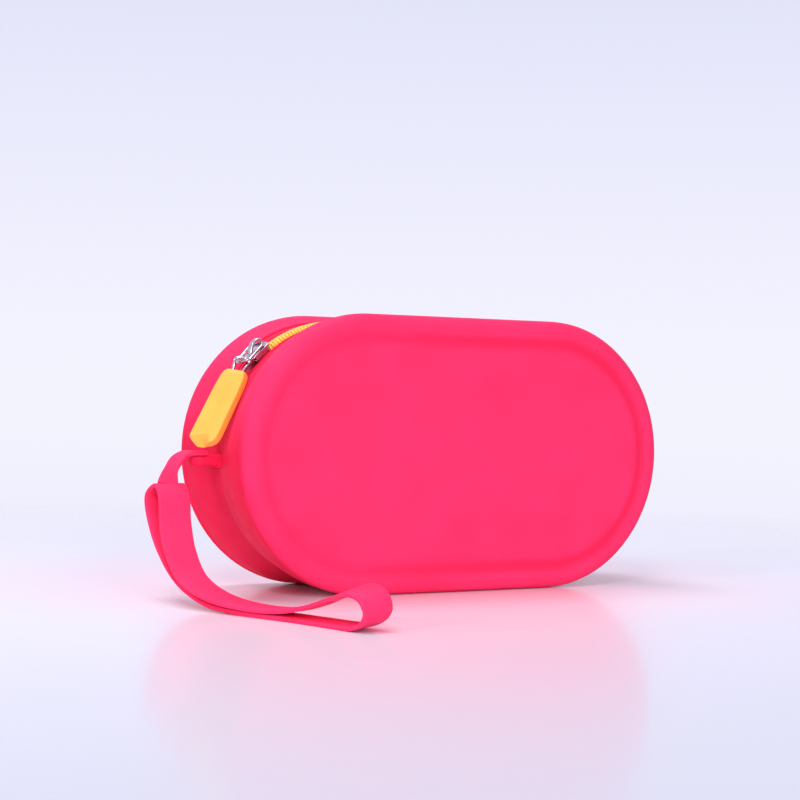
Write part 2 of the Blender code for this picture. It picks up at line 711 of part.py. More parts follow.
def make_strap(parts, cutters, swing, silicone):
    """The strap is one moulding: a stud sunk in the lug, a narrow neck, and a flat loop of band."""
    loop = band(STRAP_ROUTE, STRAP_WIDTH, STRAP_THICKNESS, closed=True)
    strap = add_object("wrist_strap", loop, parts, silicone, swing)
    neck = band(NECK_ROUTE, NECK_WIDTH, NECK_THICKNESS)
    boolean(strap, "UNION", add_object("strap_neck", neck, cutters, parent=swing))
    neck_height = NECK_ROUTE[0][2] * MM
    head_foot = LUG_HEIGHT - LUG_THICKNESS / 2
    head_thickness = LUG_RECESS_DEPTH - FIT_GAP
    stem_foot = head_foot + head_thickness / 2
    stem = cylinder(LUG_HOLE - 2 * STUD_GAP, neck_height - stem_foot)
    stem_at = (0.0, 0.0, (neck_height + stem_foot) / 2)
    boolean(strap, "UNION", add_object("stud_stem", stem, cutters, parent=swing, location=stem_at))
    half = STUD_HEAD / 2
    head = slab(half, half, half, head_thickness, STRAP_EDGE)
    head_at = (0.0, 0.0, head_foot + head_thickness / 2)
    boolean(strap, "UNION", add_object("stud_head", head, cutters, parent=swing, location=head_at))


def build():
    clear_scene()
    parts = new_collection("silicone_makeup_bag")
    cutters = new_collection("cutters", helper=True)
    silicone = material("silicone", (1.0, 0.045, 0.17), 0.55)
    cloth = material("zip_cloth", (0.75, 0.03, 0.13), 0.85)
    nylon = material("zip_nylon", (1.0, 0.6, 0.1), 0.4)
    thread = material("thread", (0.8, 0.02, 0.11), 0.8)
    metal = material("nickel", (0.75, 0.73, 0.75), 0.2, 1.0)
    rubber = material("grip_rubber", (1.0, 0.6, 0.14), 0.45)

    root = empty("bag", (0.0, FOOT_Y, 0.0))
    travel = empty("slider_travel", (-ARC_X, 0.0, RIM), root, (0.0, -SLIDER_ARC, 0.0))
    ring_swing = empty("ring_swing", (RING_AT, 0.0, RING_HEIGHT), travel, (RING_TWIST, RING_LIFT, RING_LEAN))
    grip_at = (-(RING_LENGTH - RING_BAR), 0.0, 0.0)
    grip_swing = empty("grip_swing", grip_at, ring_swing, (0.0, GRIP_BEND, 0.0))
    strap_swing = empty("strap_swing", (LUG_X, 0.0, 0.0), root)

    make_shell(parts, cutters, root, silicone)
    make_tapes(parts, root, cloth)
    last_tooth = make_chain(parts, root, nylon)
    make_stops(parts, root, metal, last_tooth)
    make_stitching(parts, root, thread)
    make_slider(parts, cutters, travel, metal)
    make_ring(parts, cutters, ring_swing, metal)
    make_grip(parts, cutters, grip_swing, metal, rubber)
    make_strap(parts, cutters, strap_swing, silicone)


build()
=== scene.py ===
"""The silicone makeup bag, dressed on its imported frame.

Each piece is drawn in millimetres round the bag's own middle: X along its length, Y through it from front
(-Y) to back, Z up from the floor. add_piece then puts it in the frame's metres, where the origin is the
middle of the front rim's foot.
"""

import json
import math

import bmesh
import bpy
from mathutils import Euler, Matrix, Vector, noise

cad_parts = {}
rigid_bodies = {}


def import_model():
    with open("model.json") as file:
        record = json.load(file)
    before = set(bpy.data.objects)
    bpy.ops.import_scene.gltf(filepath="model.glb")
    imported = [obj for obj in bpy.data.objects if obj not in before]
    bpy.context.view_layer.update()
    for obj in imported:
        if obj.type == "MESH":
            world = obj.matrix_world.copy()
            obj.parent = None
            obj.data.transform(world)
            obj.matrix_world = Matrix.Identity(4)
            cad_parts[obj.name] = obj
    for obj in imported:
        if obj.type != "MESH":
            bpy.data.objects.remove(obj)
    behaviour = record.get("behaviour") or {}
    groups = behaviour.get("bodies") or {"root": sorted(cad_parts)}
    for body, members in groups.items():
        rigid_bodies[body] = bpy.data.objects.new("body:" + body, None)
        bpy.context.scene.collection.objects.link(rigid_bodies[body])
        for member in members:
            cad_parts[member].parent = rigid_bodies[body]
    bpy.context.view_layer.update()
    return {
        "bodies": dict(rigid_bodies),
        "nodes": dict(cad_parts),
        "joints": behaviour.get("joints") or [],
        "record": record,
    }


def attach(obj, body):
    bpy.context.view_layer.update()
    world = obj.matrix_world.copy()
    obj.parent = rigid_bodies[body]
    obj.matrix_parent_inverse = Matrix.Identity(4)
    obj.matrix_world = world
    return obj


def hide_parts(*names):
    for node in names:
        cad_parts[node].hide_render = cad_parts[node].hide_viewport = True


MM = 0.001
SAME_PLACE = 0.0005
SKIN_JOIN = 0.002
SHARP_ANGLE = math.radians(50.0)
LEAST_CORNER = 0.02

# The shell
BAG_LENGTH = 188.4
BAG_HEIGHT = 105.0
BAG_DEPTH = 57.6
FACE_WALL = 2.4
SIDE_WALL = 1.8
GUSSET_SINK = 3.4
GUSSET_HALF = 12.0
RIM_FOOT_WIDTH = 2.4
RIM_ROUND = 5.2
GROOVE_INSET = 9.0
GROOVE_DEPTH = 1.0
GROOVE_OUTER_WIDTH = 1.9
GROOVE_INNER_WIDTH = 2.5
GROOVE_LEFT_SHARE = 0.35
GROOVE_FADE = (-75.0, 25.0)
DISH_DEPTH = 0.25
DISH_RIM_RUN = 5.0
DISH_FADE = (12.0, 46.0)
PARTING_LINE = 0.2
RIM_SEAM = 0.12
# The bead at the parting line: how far in from the outline, and how far before the rim's rounding
BEAD = ((PARTING_LINE, 0.75), (0.03, 0.6), (0.0, 0.4), (0.0, 0.25), (RIM_SEAM, 0.1))
VALLEY_HALF = 15.5
VALLEY_RISE = 3.0
VALLEY_CREASE = 0.35
VALLEY_EASE = 24.0
LEDGE_RISE = 0.8
LEDGE_SHARE = 0.06
COLUMN_STEP = 2.0
SLOPE_STEP = 0.094
GROOVE_STEP = 0.45
PANEL_STEP = 3.0
BAND_ROWS = (3.2, 4.4, 5.7)
PATCH_MARGIN = 2.0
FACE_BAND = 2.0
SURFACE_WAVE = 0.07
SURFACE_WAVE_SIZE = 26.0
WAVE_PAST_BAND = 2.0
WAVE_ABOVE = 3.0

# The lug
LUG_REACH = 11.6
LUG_HALF_WIDTH = 3.9
LUG_THICKNESS = 3.0
LUG_EDGE = 0.7
LUG_HEIGHT = 49.2
LUG_HOLE = 3.8
LUG_RECESS = 5.8
LUG_RECESS_DEPTH = 1.4
LUG_FILLET = 1.2
LUG_HOLE_EDGE = 0.3

# The zip
FIT_GAP = 0.3
SLOT_HALF = 5.0
SLOT_ARC = math.radians(54.0)
SLOT_LIP = 0.6
SLOT_TURNS = 16
TAPE_THICKNESS = 0.6
TAPE_HALF = 14.0
TAPE_PAST_SLOT = 5.0
TAPE_STEP = 1.5
CHAIN_HALF = 3.1
CHAIN_HEIGHT = 2.7
TOOTH_PITCH = 1.4
TOOTH_REACH = 0.8
TOOTH_WIDTH = 0.98
TOOTH_ROUND = 0.62
TOOTH_SHIFT = 0.3
STOP_LENGTH = 1.8
STOP_EDGE = 0.4
STOP_CORNER = 0.55
END_STOP_LENGTH = 3.0
CHAIN_FROM_SLOT_END = 5.2
STITCH_FROM_SLOT = 1.7
STITCH_LENGTH = 3.3
STITCH_PITCH = 4.0
STITCH_STEPS = 9
STITCH_RISE = 0.55
STITCH_SINK = 0.45
THREAD = 0.5
THREAD_SIDES = 10
CHANNEL_WIDTH = 1.4
CHANNEL_DEPTH = 0.6
# One side of the channel, from its edge: the shares of its half width and of its depth
CHANNEL_SHAPE = ((1.15, 0.0), (1.0, 0.25), (0.8, 0.8), (0.55, 1.0))

# The slider
SLIDER_ARC = math.radians(42.6)
SLIDER_LENGTH = 10.0
SLIDER_HALF = 4.5
SLIDER_CORNER = 1.8
PLATE = 1.1
PLATE_EDGE = 0.35
FLANGE = 0.9
WEDGE_LENGTH = 3.0
WEDGE_HALF = 1.2
WEDGE_INSET = 0.5
WEDGE_ROUND = 0.9
WEDGE_EDGE = 0.1
CROWN_HALF = 1.3
CROWN_BAND = 0.9
CROWN_EDGE = 0.28
CROWN_SPREAD = 0.25
CROWN_SPREAD_OVER = (0.5, -2.5)
CROWN_ROOT = 0.3
CROWN_FRONT = 3.9
CROWN_BACK = -2.9
# The arch's middle line between its feet: along the slider, and down from its highest point
CROWN_LINE = (
    *((CROWN_FRONT, 1.3), (3.85, 0.75), (3.6, 0.3), (3.1, 0.05), (2.4, 0.0), (1.2, 0.0)),
    *((0.5, 0.12), (-0.3, 0.5), (-1.2, 1.15), (-2.0, 1.8), (-2.6, 2.4)),
)
RING_AT = 2.0

# The pull
RING_LENGTH = 11.6
RING_HALF = 4.4
RING_BAR = 1.2
RING_THICKNESS = 1.0
RING_CORNER = 2.4
RING_EDGE = 0.42
RING_STEP = 0.6
RING_LEAN = math.radians(18.0)
RING_TWIST = math.radians(4.0)
RING_LIFT = math.radians(2.0)
LINK_WIRE = 1.2
LINK_BURIED = 4.0
LINK_STEP = 6
GRIP_START = 4.4
GRIP_BEND = math.radians(-20.5)
GRIP_LEAN = math.radians(-10.0)
GRIP_TWIST = math.radians(14.0)
GRIP_EDGE = 0.55
GRIP_TOP = 1.7
GRIP_STEP = 1.5
# The grip's sections: how far from its top end, how far it reaches to each side, its under and upper side
GRIP_SECTIONS = (
    (0.0, -3.9, 3.9, -1.2, 1.2),
    (0.35, -4.3, 4.3, -1.45, 1.45),
    (1.4, -4.95, 4.95, -1.7, 1.7),
    (3.0, -5.45, 5.45, -1.7, 1.7),
    (9.0, -5.9, 5.9, -1.7, 1.7),
    (26.4, -6.2, 6.2, -1.7, 1.7),
    (28.2, -5.9, 6.2, -1.7, 1.7),
    (29.4, -5.2, 6.0, -1.7, 1.65),
    (30.4, -3.9, 5.0, -1.65, 1.5),
    (31.2, -2.0, 3.8, -1.5, 1.3),
    (31.8, 0.0, 2.7, -1.35, 1.0),
)
# The facet at its end: where it starts at the middle, how far that shifts to a side, its slope, and the
# stretch over which it fades towards the right
FACET_START = 27.4
FACET_SKEW = 0.33
FACET_SLOPE = 0.95
FACET_FADE = (-4.5, 0.5)
FACET_STEP = 0.4
FACET_PARTS = 24
FACET_LEAST = 0.15

# The wrist strap
STRAP_WIDTH = 12.4
STRAP_THICKNESS = 1.6
STRAP_EDGE = 0.6
STRAP_LOWEST = 0.02
NECK_WIDTH = 5.0
NECK_THICKNESS = 1.9
NECK_SPREAD = 3.0
NECK_SPREAD_FROM = 0.75
STUD_GAP = 0.4
STUD_HEAD = 5.1
STUD_EDGE = 0.3
STUD_POLE = 0.2
STUD_FILLET = 0.1
STEPS_PER_SPAN = 12
# x and y from the hole in the lug and z from the floor, then the heading and the rise of its width in degrees
STRAP_ROUTE = (
    (-13.5, -3.4, 40.5, 3, 0),
    (-13.7, -8.4, 36.5, 3, 0),
    (-15.2, -13.0, 28.0, 4, 2),
    (-17.2, -21.5, 18.8, 7, 4),
    (-17.6, -33.0, 9.8, 12, 4),
    (-14.8, -47.0, 4.8, 17, 2),
    (-9.7, -62.0, 2.8, 20, 0),
    (-4.0, -77.0, 3.0, 21, 0),
    (0.2, -90.0, 6.0, 20, 4),
    (3.3, -101.0, 10.2, 18, 9),
    (5.0, -109.0, 12.7, 16, 12),
    (6.4, -115.0, 11.4, 14, 13),
    (7.0, -117.5, 7.4, 13, 13),
    (6.4, -116.3, 3.7, 13, 10),
    (5.2, -112.0, 1.6, 14, 5),
    (3.6, -105.0, 0.9, 16, 1),
    (0.7, -91.5, 0.8, 20, 0),
    (-3.2, -77.0, 0.8, 21, 0),
    (-8.1, -61.5, 0.8, 20, 0),
    (-12.8, -44.0, 2.2, 17, 2),
    (-15.8, -28.0, 8.4, 12, 5),
    (-16.2, -13.7, 18.0, 7, 4),
    (-15.5, -3.5, 28.0, 4, 2),
    (-14.6, 1.3, 36.2, 3, 0),
)
NECK_HEIGHT = LUG_HEIGHT + LUG_THICKNESS / 2 + STUD_GAP + NECK_THICKNESS / 2
NECK_ROUTE = (
    (2.4, 0.0, NECK_HEIGHT, 90, 0),
    (-1.7, 0.0, NECK_HEIGHT, 92, 0),
    (-4.8, -0.2, 52.0, 98, 4),
    (-7.5, -0.6, 51.0, 112, 10),
    (-10.3, -1.2, 48.6, 140, 12),
    (-12.7, -2.4, 44.9, 168, 4),
    (-14.0, -3.4, 40.5, 183, 0),
)

# Worked out from the sizes above, as in the source
RIM = BAG_HEIGHT / 2
ARC_X = BAG_LENGTH / 2 - RIM
HALF_DEPTH = BAG_DEPTH / 2
FOOT_INNER = HALF_DEPTH - RIM_ROUND - RIM_FOOT_WIDTH
FOOT_Y = FOOT_INNER + RIM_FOOT_WIDTH / 2
GUSSET = RIM - GUSSET_SINK
INNER = GUSSET - SIDE_WALL
TAPE_TOP = INNER - FIT_GAP
TAPE_BOTTOM = TAPE_TOP - TAPE_THICKNESS
CHAIN_BOTTOM = TAPE_TOP + FIT_GAP
CHAIN_TOP = CHAIN_BOTTOM + CHAIN_HEIGHT
CHAIN_MID = (CHAIN_BOTTOM + CHAIN_TOP) / 2
SLOT_END = ARC_X + CHAIN_MID * SLOT_ARC
SLIDER_AT = -(ARC_X + CHAIN_MID * SLIDER_ARC)
WEDGE_TIP = SLIDER_LENGTH / 2 - WEDGE_INSET - WEDGE_LENGTH
CHAIN_START = SLIDER_AT - WEDGE_TIP + FIT_GAP
CHAIN_END = SLOT_END - CHAIN_FROM_SLOT_END
PLATE_TOP = CHAIN_TOP + FIT_GAP + PLATE
FLANGE_FOOT = TAPE_TOP + FIT_GAP
LOW_PLATE_TOP = math.sqrt((TAPE_BOTTOM - FIT_GAP) ** 2 - (SLIDER_LENGTH / 2) ** 2)
RING_SWING = math.hypot(RING_BAR, RING_THICKNESS) / 2
RING_PLAY = FIT_GAP + CROWN_HALF * math.sin(RING_TWIST)
RING_HEIGHT = PLATE_TOP + RING_SWING + RING_PLAY
CROWN_TOP = RING_HEIGHT + RING_SWING + RING_PLAY + CROWN_BAND
LINK_SWING = RING_SWING + LINK_WIRE / 2 + FIT_GAP
LINK_HALF = RING_HALF - RING_BAR - LINK_WIRE / 2 - FIT_GAP
LUG_X = -ARC_X - GUSSET - LUG_REACH + LUG_HALF_WIDTH
ARC_RUN = CHAIN_MID * math.pi
SLOT_STRAIGHT = SLOT_END - SLOT_HALF
PATCH_END = SLOT_STRAIGHT + GUSSET_HALF + PATCH_MARGIN
VALLEY_FADE = (PATCH_END, PATCH_END + VALLEY_EASE)

# Where each moving body's own frame is
TRAVEL = Matrix.Translation((-ARC_X, 0.0, RIM)) @ Matrix.Rotation(-SLIDER_ARC, 4, "Y")
RING = (
    TRAVEL
    @ Matrix.Translation((RING_AT, 0.0, RING_HEIGHT))
    @ Euler((RING_TWIST, RING_LIFT, RING_LEAN)).to_matrix().to_4x4()
)
LINK = RING @ Matrix.Translation((RING_BAR - RING_LENGTH, 0.0, 0.0)) @ Matrix.Rotation(GRIP_BEND, 4, "Y")
GRIP_TURN = Euler((GRIP_TWIST, 0.0, GRIP_LEAN)).to_matrix()
GRIP = LINK @ GRIP_TURN.to_4x4()
STRAP = Matrix.Translation((LUG_X, 0.0, 0.0))

# The camera, from the photograph's perspective
CAMERA_AT = (-0.402689, -0.612523, 0.078133)
CAMERA_RIGHT = (0.851906, -0.523245, 0.021723)
CAMERA_UP = (-0.014771, 0.017456, 0.999738)
CAMERA_AHEAD = (0.523486, 0.852004, -0.007142)
CAMERA_LENS = 85.8637
CAMERA_SENSOR = 36.0

# Painted shade on the shell, from 0 to 1, as a mix towards crimson: in the groove, by the zip, on the zip's
# ledge and past the zip
GROOVE_PAINTED_SHADE = 0.45
BAND_PAINTED_SHADE = 0.4
BAND_PAINTED_SHADE_PAST = 1.0
LIP_PAINTED_SHADE_FROM = 0.02
LIP_PAINTED_SHADE_RUN = 0.1
LEDGE_PAINTED_SHADE = 0.9
LEDGE_PAINTED_SHADE_AT = 0.1
LEDGE_PAINTED_SHADE_WIDTH = 0.3
SIDE_PAINTED_SHADE = 0.6
SIDE_PAINTED_SHADE_FADE = (2.2, 5.2)

# Colours: pairs are the two that a cloudy noise moves between
THICK_PINKS = ((0.93, 0.031, 0.128), (0.97, 0.036, 0.150))
THIN_PINKS = ((0.95, 0.031, 0.130), (1.0, 0.040, 0.155))
# The crimson that the shell's painted shade mixes towards
PAINTED_SHADE_CRIMSON = (0.80, 0.003, 0.038, 1.0)
RUBBER_YELLOWS = ((1.0, 0.44, 0.062), (1.0, 0.50, 0.085))
NYLON_YELLOWS = ((1.0, 0.50, 0.045), (1.0, 0.60, 0.09))
NICKEL_GREYS = ((0.40, 0.36, 0.40), (0.66, 0.62, 0.67))
TAPE_RAMP = ((0.0, (0.30, 0.004, 0.03)), (0.75, (0.80, 0.012, 0.085)))
THREAD_RAMP = ((0.0, (0.45, 0.006, 0.05)), (0.8, (0.95, 0.03, 0.14)))
FLOOR_GREYS = ((0.81, 0.80, 0.95), (0.83, 0.82, 0.96))
# Painted shade: the floor's colour towards the front
FLOOR_FRONT_PAINTED_SHADE = (0.61, 0.62, 0.76, 1.0)
# Painted pink bounce light from the bag on the floor round it
FLOOR_PAINTED_BOUNCE = (0.92, 0.67, 0.83, 1.0)
EVEN_LIGHT = (0.93, 0.93, 1.0, 1.0)
BACKDROP_RAMP = (
    (0.0, (0.74, 0.75, 0.92)),
    (0.25, (0.76, 0.77, 0.93)),
    (0.38, (0.85, 0.84, 0.99)),
    (0.47, (0.895, 0.895, 0.99)),
    (0.52, (0.90, 0.90, 1.0)),
    (0.60, (0.86, 0.86, 0.99)),
    (0.75, (0.77, 0.78, 0.95)),
)

# Noise values that count as its low and high ends
NOISE_LOW = 0.3
NOISE_HIGH = 0.7
WEAVE_PITCH = 0.42
THREAD_LAY = 11.0

# The stage, in metres
FLOOR_HALF = 3.0
FLOOR_FADE = (0.2, 0.55)
FRONT_SHADE = (-0.34, -0.02)
# Painted pink bounce light: how far behind the front rim's foot it centres, and where it fades out
PAINTED_BOUNCE_Y = 0.05
PAINTED_BOUNCE_REACH = (0.02, 0.16)
SKY_REACH = 0.4
LAMP_TARGET = (0.0, 0.02, 0.05)
# Each lamp's name, place, width and power
LAMPS = (
    ("softbox_above", (-0.3, 0.45, 1.9), 1.1, 19.0),
    ("softbox_key", (-1.2, -1.3, 1.6), 0.5, 13.0),
    ("softbox_left", (-2.1, -0.5, 0.7), 0.5, 12.0),
    ("softbox_front", (-0.5, -2.1, 0.5), 0.9, 23.0),
)


def new_tree(name):
    """A material with only its Principled shader: (material, tree, shader)."""
    made = bpy.data.materials.new(name)
    made.use_nodes = True
    tree = made.node_tree
    return made, tree, tree.nodes["Principled BSDF"]


def put(tree, socket, value):
    """Links a socket to another, or sets its value."""
    if isinstance(value, bpy.types.NodeSocket):
        tree.links.new(value, socket)
    else:
        socket.default_value = value


def feed(tree, made, **inputs):
    """Links or sets a node's inputs by name, with _ for a space."""
    for key, value in inputs.items():
        put(tree, made.inputs[key.replace("_", " ")], value)


def node(tree, kind, settings=None, **inputs):
    """A new node with its settings, and its inputs by name."""
    made = tree.nodes.new(kind)
    for key, value in (settings or {}).items():
        setattr(made, key, value)
    feed(tree, made, **inputs)
    return made


def result(tree, kind, settings, inputs, output=0):
    """The output of a new node whose inputs are given by number."""
    made = node(tree, kind, settings)
    for number, value in inputs.items():
        put(tree, made.inputs[number], value)
    return made.outputs[output]


def object_place(tree):
    return node(tree, "ShaderNodeTexCoord").outputs["Object"]


def speckle(tree, size_mm, detail=3.0, where=None):
    """Noise whose grain is about a size in millimetres, on the object unless a place is given."""
    where = where or object_place(tree)
    made = node(tree, "ShaderNodeTexNoise", Vector=where, Detail=detail, Scale=1.0 / (size_mm * MM))
    return made.outputs["Fac"]


def ramp(tree, fac, *stops):
    """A colour ramp through (position, colour) stops."""
    made = node(tree, "ShaderNodeValToRGB", Fac=fac)
    elements = made.color_ramp.elements
    while len(elements) < len(stops):
        elements.new(0.5)
    for element, (position, colour) in zip(elements, stops):
        element.position = position
        element.color = (*colour, 1.0)
    return made.outputs["Color"]


def clouded(tree, cloud, low, high):
    """A colour between two, by a noise."""
    return ramp(tree, cloud, (NOISE_LOW, low), (NOISE_HIGH, high))


def span(tree, value, low, high, start=0.0, end=1.0):
    """A value's range moved to another range."""
    return result(tree, "ShaderNodeMapRange", {}, {0: value, 1: start, 2: end, 3: low, 4: high})


def varied(tree, cloud, low, high):
    """A number between two, by a noise."""
    return span(tree, cloud, low, high, NOISE_LOW, NOISE_HIGH)


def mix(tree, fac, first, second):
    return result(tree, "ShaderNodeMix", {"data_type": "RGBA"}, {0: fac, 6: first, 7: second}, 2)


def mix_shaders(tree, fac, first, second):
    return result(tree, "ShaderNodeMixShader", {}, {0: fac, 1: first, 2: second})


def maths(tree, operation, first, second=0.0):
    return result(tree, "ShaderNodeMath", {"operation": operation}, {0: first, 1: second})


def length(tree, vector):
    return result(tree, "ShaderNodeVectorMath", {"operation": "LENGTH"}, {0: vector}, "Value")


def bump(tree, height, strength, distance_mm, under=None):
    """A normal for a height, on top of another normal if one is given."""
    made = node(tree, "ShaderNodeBump", Height=height, Strength=strength, Distance=distance_mm * MM)
    if under:
        put(tree, made.inputs["Normal"], under)
    return made.outputs["Normal"]


def silicone_look(name, pinks):
    """Matt moulded silicone between two pinks, turned crimson by painted shade where a vertex attribute marks
    grooves, recesses and the valley between the rims.
    """
    made, tree, shader = new_tree(name)
    # Painted shade: a stored vertex attribute mixes the pinks towards crimson
    painted_shade = node(tree, "ShaderNodeAttribute", {"attribute_name": "painted_shade"}).outputs["Fac"]
    grain = bump(tree, speckle(tree, 0.16, 2.0), 0.22, 0.035)
    feed(
        tree,
        shader,
        Base_Color=mix(tree, painted_shade, clouded(tree, speckle(tree, 18.0), *pinks), PAINTED_SHADE_CRIMSON),
        Roughness=varied(tree, speckle(tree, 6.0, 4.0), 0.52, 0.64),
        Normal=bump(tree, speckle(tree, 0.9, 2.0), 0.10, 0.08, grain),
        Subsurface_Weight=0.25,
        Subsurface_Radius=(1.0, 0.22, 0.30),
        Subsurface_Scale=1.6 * MM,
        IOR=1.41,
        Specular_IOR_Level=0.1,
    )
    return made


def rubber_look():
    """The grip's moulded yellow rubber."""
    made, tree, shader = new_tree("grip_moulded_rubber")
    feed(
        tree,
        shader,
        Base_Color=clouded(tree, speckle(tree, 7.0), *RUBBER_YELLOWS),
        Roughness=varied(tree, speckle(tree, 2.0), 0.4, 0.52),
        Normal=bump(tree, speckle(tree, 0.14, 2.0), 0.2, 0.03),
        Subsurface_Weight=0.3,
        Subsurface_Radius=(1.0, 0.55, 0.15),
        Subsurface_Scale=1.2 * MM,
        IOR=1.45,
    )
    return made


def nylon_look():
    """The teeth's moulded yellow nylon."""
    made, tree, shader = new_tree("teeth_moulded_nylon")
    each = speckle(tree, 2.3, 2.0)
    feed(
        tree,
        shader,
        Base_Color=clouded(tree, each, *NYLON_YELLOWS),
        Roughness=varied(tree, each, 0.32, 0.46),
        Normal=bump(tree, speckle(tree, 0.12, 2.0), 0.18, 0.03),
        Subsurface_Weight=0.2,
        Subsurface_Radius=(1.0, 0.5, 0.1),
        Subsurface_Scale=0.6 * MM,
    )
    return made


def cloth_axes(tree):
    """The two axes of the cloth UV map, in millimetres."""
    where = node(tree, "ShaderNodeUVMap", {"uv_map": "cloth"}).outputs["UV"]
    apart = node(tree, "ShaderNodeSeparateXYZ", Vector=where)
    return apart.outputs["X"], apart.outputs["Y"]


def tape_look():
    """The zip's woven tape."""
    made, tree, shader = new_tree("zip_woven_tape")
    turn = math.pi / WEAVE_PITCH
    over, under = (maths(tree, "SINE", maths(tree, "MULTIPLY", axis, turn)) for axis in cloth_axes(tree))
    weave = maths(tree, "ABSOLUTE", maths(tree, "MULTIPLY", over, under))
    colour, rough = ramp(tree, weave, *TAPE_RAMP), span(tree, weave, 0.95, 0.78)
    feed(tree, shader, Base_Color=colour, Roughness=rough, Normal=bump(tree, weave, 0.7, 0.12))
    feed(tree, shader, Sheen_Weight=0.3, Sheen_Roughness=0.5, Sheen_Tint=(1.0, 0.4, 0.6, 1.0))
    return made


def thread_look():
    """Twisted sewing thread."""
    made, tree, shader = new_tree("thread_twisted")
    along, around = cloth_axes(tree)
    lay = maths(tree, "ADD", maths(tree, "MULTIPLY", along, THREAD_LAY), around)
    twist = span(tree, maths(tree, "SINE", lay), 0.0, 1.0, -1.0, 1.0)
    colour, rough = ramp(tree, twist, *THREAD_RAMP), span(tree, twist, 0.8, 0.6)
    feed(tree, shader, Base_Color=colour, Roughness=rough, Normal=bump(tree, twist, 0.6, 0.06))
    return made


def nickel_look():
    """Bright plated metal with fine rub marks and a little colour in its haze."""
    made, tree, shader = new_tree("nickel_plated")
    stretched = node(tree, "ShaderNodeMapping", Vector=object_place(tree), Scale=(1.0, 9.0, 9.0))
    rubbed = speckle(tree, 0.9, 4.0, stretched.outputs["Vector"])
    feed(
        tree,
        shader,
        Base_Color=clouded(tree, speckle(tree, 1.6, 4.0), *NICKEL_GREYS),
        Roughness=varied(tree, rubbed, 0.08, 0.22),
        Normal=bump(tree, rubbed, 0.12, 0.02),
        Metallic=1.0,
    )
    return made


def new_object(name, data):
    """An object that is in the scene."""
    made = bpy.data.objects.new(name, data)
    bpy.context.scene.collection.objects.link(made)
    return made


def add_piece(name, bm, body, slot, look, *stands_for, frame_of=None):
    """Turns a drawing into a piece: out of its own frame, into metres, on its body, for its nodes."""
    bmesh.ops.remove_doubles(bm, verts=bm.verts, dist=SAME_PLACE)
    bmesh.ops.recalc_face_normals(bm, faces=bm.faces)
    if frame_of is not None:
        bm.transform(frame_of)
    bm.transform(Matrix.Scale(MM, 4) @ Matrix.Translation((0.0, FOOT_Y, 0.0)))
    mesh = bpy.data.meshes.new(name)
    bm.to_mesh(mesh)
    bm.free()
    mesh.materials.append(look)
    mesh.shade_smooth()
    mesh.set_sharp_from_angle(angle=SHARP_ANGLE)
    made = new_object(name, mesh)
    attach(made, body)
    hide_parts(*stands_for)
    return made


def join(bm, rows, closed_rows=True, closed_run=False):
    """Quads between rows of equally many vertices."""
    following = rows[1:] + rows[:1] if closed_run else rows[1:]
    for row, after in zip(rows, following):
        count = len(row)
        for i in range(count if closed_rows else count - 1):
            j = (i + 1) % count
            bm.faces.new((row[i], row[j], after[j], after[i]))


def skin(bm, loops, closed=False, caps=True):
    """A skin through loops of points, with flat ends unless it closes on itself."""
    rings = [[bm.verts.new(point) for point in loop] for loop in loops]
    join(bm, rings, True, closed)
    if caps and not closed:
        bm.faces.new(rings[0])
        bm.faces.new(rings[-1])
    return rings


def spaced(low, high, step=COLUMN_STEP):
    """Evenly spaced values from one end to the other, about a step apart."""
    count = max(1, round((high - low) / step))
    return [low + (high - low) * i / count for i in range(count + 1)]


def rounding(radius, steps=4):
    """(distance in from a side, distance down from a face) along the quarter circle between the two."""
    angles = [math.radians(90) * step / steps for step in range(steps + 1)]
    return [(radius * (1 - math.cos(angle)), radius * (1 - math.sin(angle))) for angle in angles]


def smooth(value, start=0.0, end=1.0):
    """How far a value is from a start to an end, from 0 to 1, eased at both."""
    share = min(max((value - start) / (end - start), 0.0), 1.0)
    return share * share * (3 - 2 * share)


def rounded_rectangle(half_x, half_y, corner, inset=0.0, steps=4):
    """Points round a rectangle with rounded corners, drawn in by an inset."""
    centre_x, centre_y = half_x - corner, half_y - corner
    radius = max(corner - inset, LEAST_CORNER)
    loop = []
    for number, (side_x, side_y) in enumerate(((1, 1), (-1, 1), (-1, -1), (1, -1))):
        for step in range(steps + 1):
            angle = math.radians(90) * (number + step / steps)
            x = side_x * centre_x + radius * math.cos(angle)
            loop.append((x, side_y * centre_y + radius * math.sin(angle)))
    return loop


def slab(bm, half_x, half_y, corner, thickness, edge, middle=(0.0, 0.0, 0.0)):
    """A flat plate with rounded corners and eased edges."""
    low = [(down, into - thickness / 2) for into, down in rounding(edge)]
    loops = []
    for inset, height in low + [(inset, -height) for inset, height in reversed(low)]:
        outline = rounded_rectangle(half_x, half_y, corner, inset, steps=6)
        loops.append([Vector(middle) + Vector((x, y, height)) for x, y in outline])
    skin(bm, loops)


def circle(sides):
    """The directions, as (cosine, sine), of points round a circle."""
    turns = [math.tau * step / sides for step in range(sides)]
    return [(math.cos(turn), math.sin(turn)) for turn in turns]


def lathe(bm, profile, middle, sides=40):
    """A turned form from (radius, height) points, about an upright axis."""
    loops = []
    for radius, height in profile:
        loops.append([Vector(middle) + Vector((radius * x, radius * y, height)) for x, y in circle(sides)])
    skin(bm, loops)


def tube(bm, points, radii, sides=16):
    """A round wire along a run of points, with a radius for each: its rings of vertices."""
    runs = [(after - before).normalized() for before, after in zip(points, points[1:])]
    side = runs[0].orthogonal()
    loops = []
    for number, (point, radius) in enumerate(zip(points, radii)):
        ahead = (runs[max(number - 1, 0)] + runs[min(number, len(runs) - 1)]).normalized()
        side = (side - ahead * side.dot(ahead)).normalized()
        up = ahead.cross(side)
        loops.append([point + radius * (side * x + up * y) for x, y in circle(sides)])
    return skin(bm, loops)


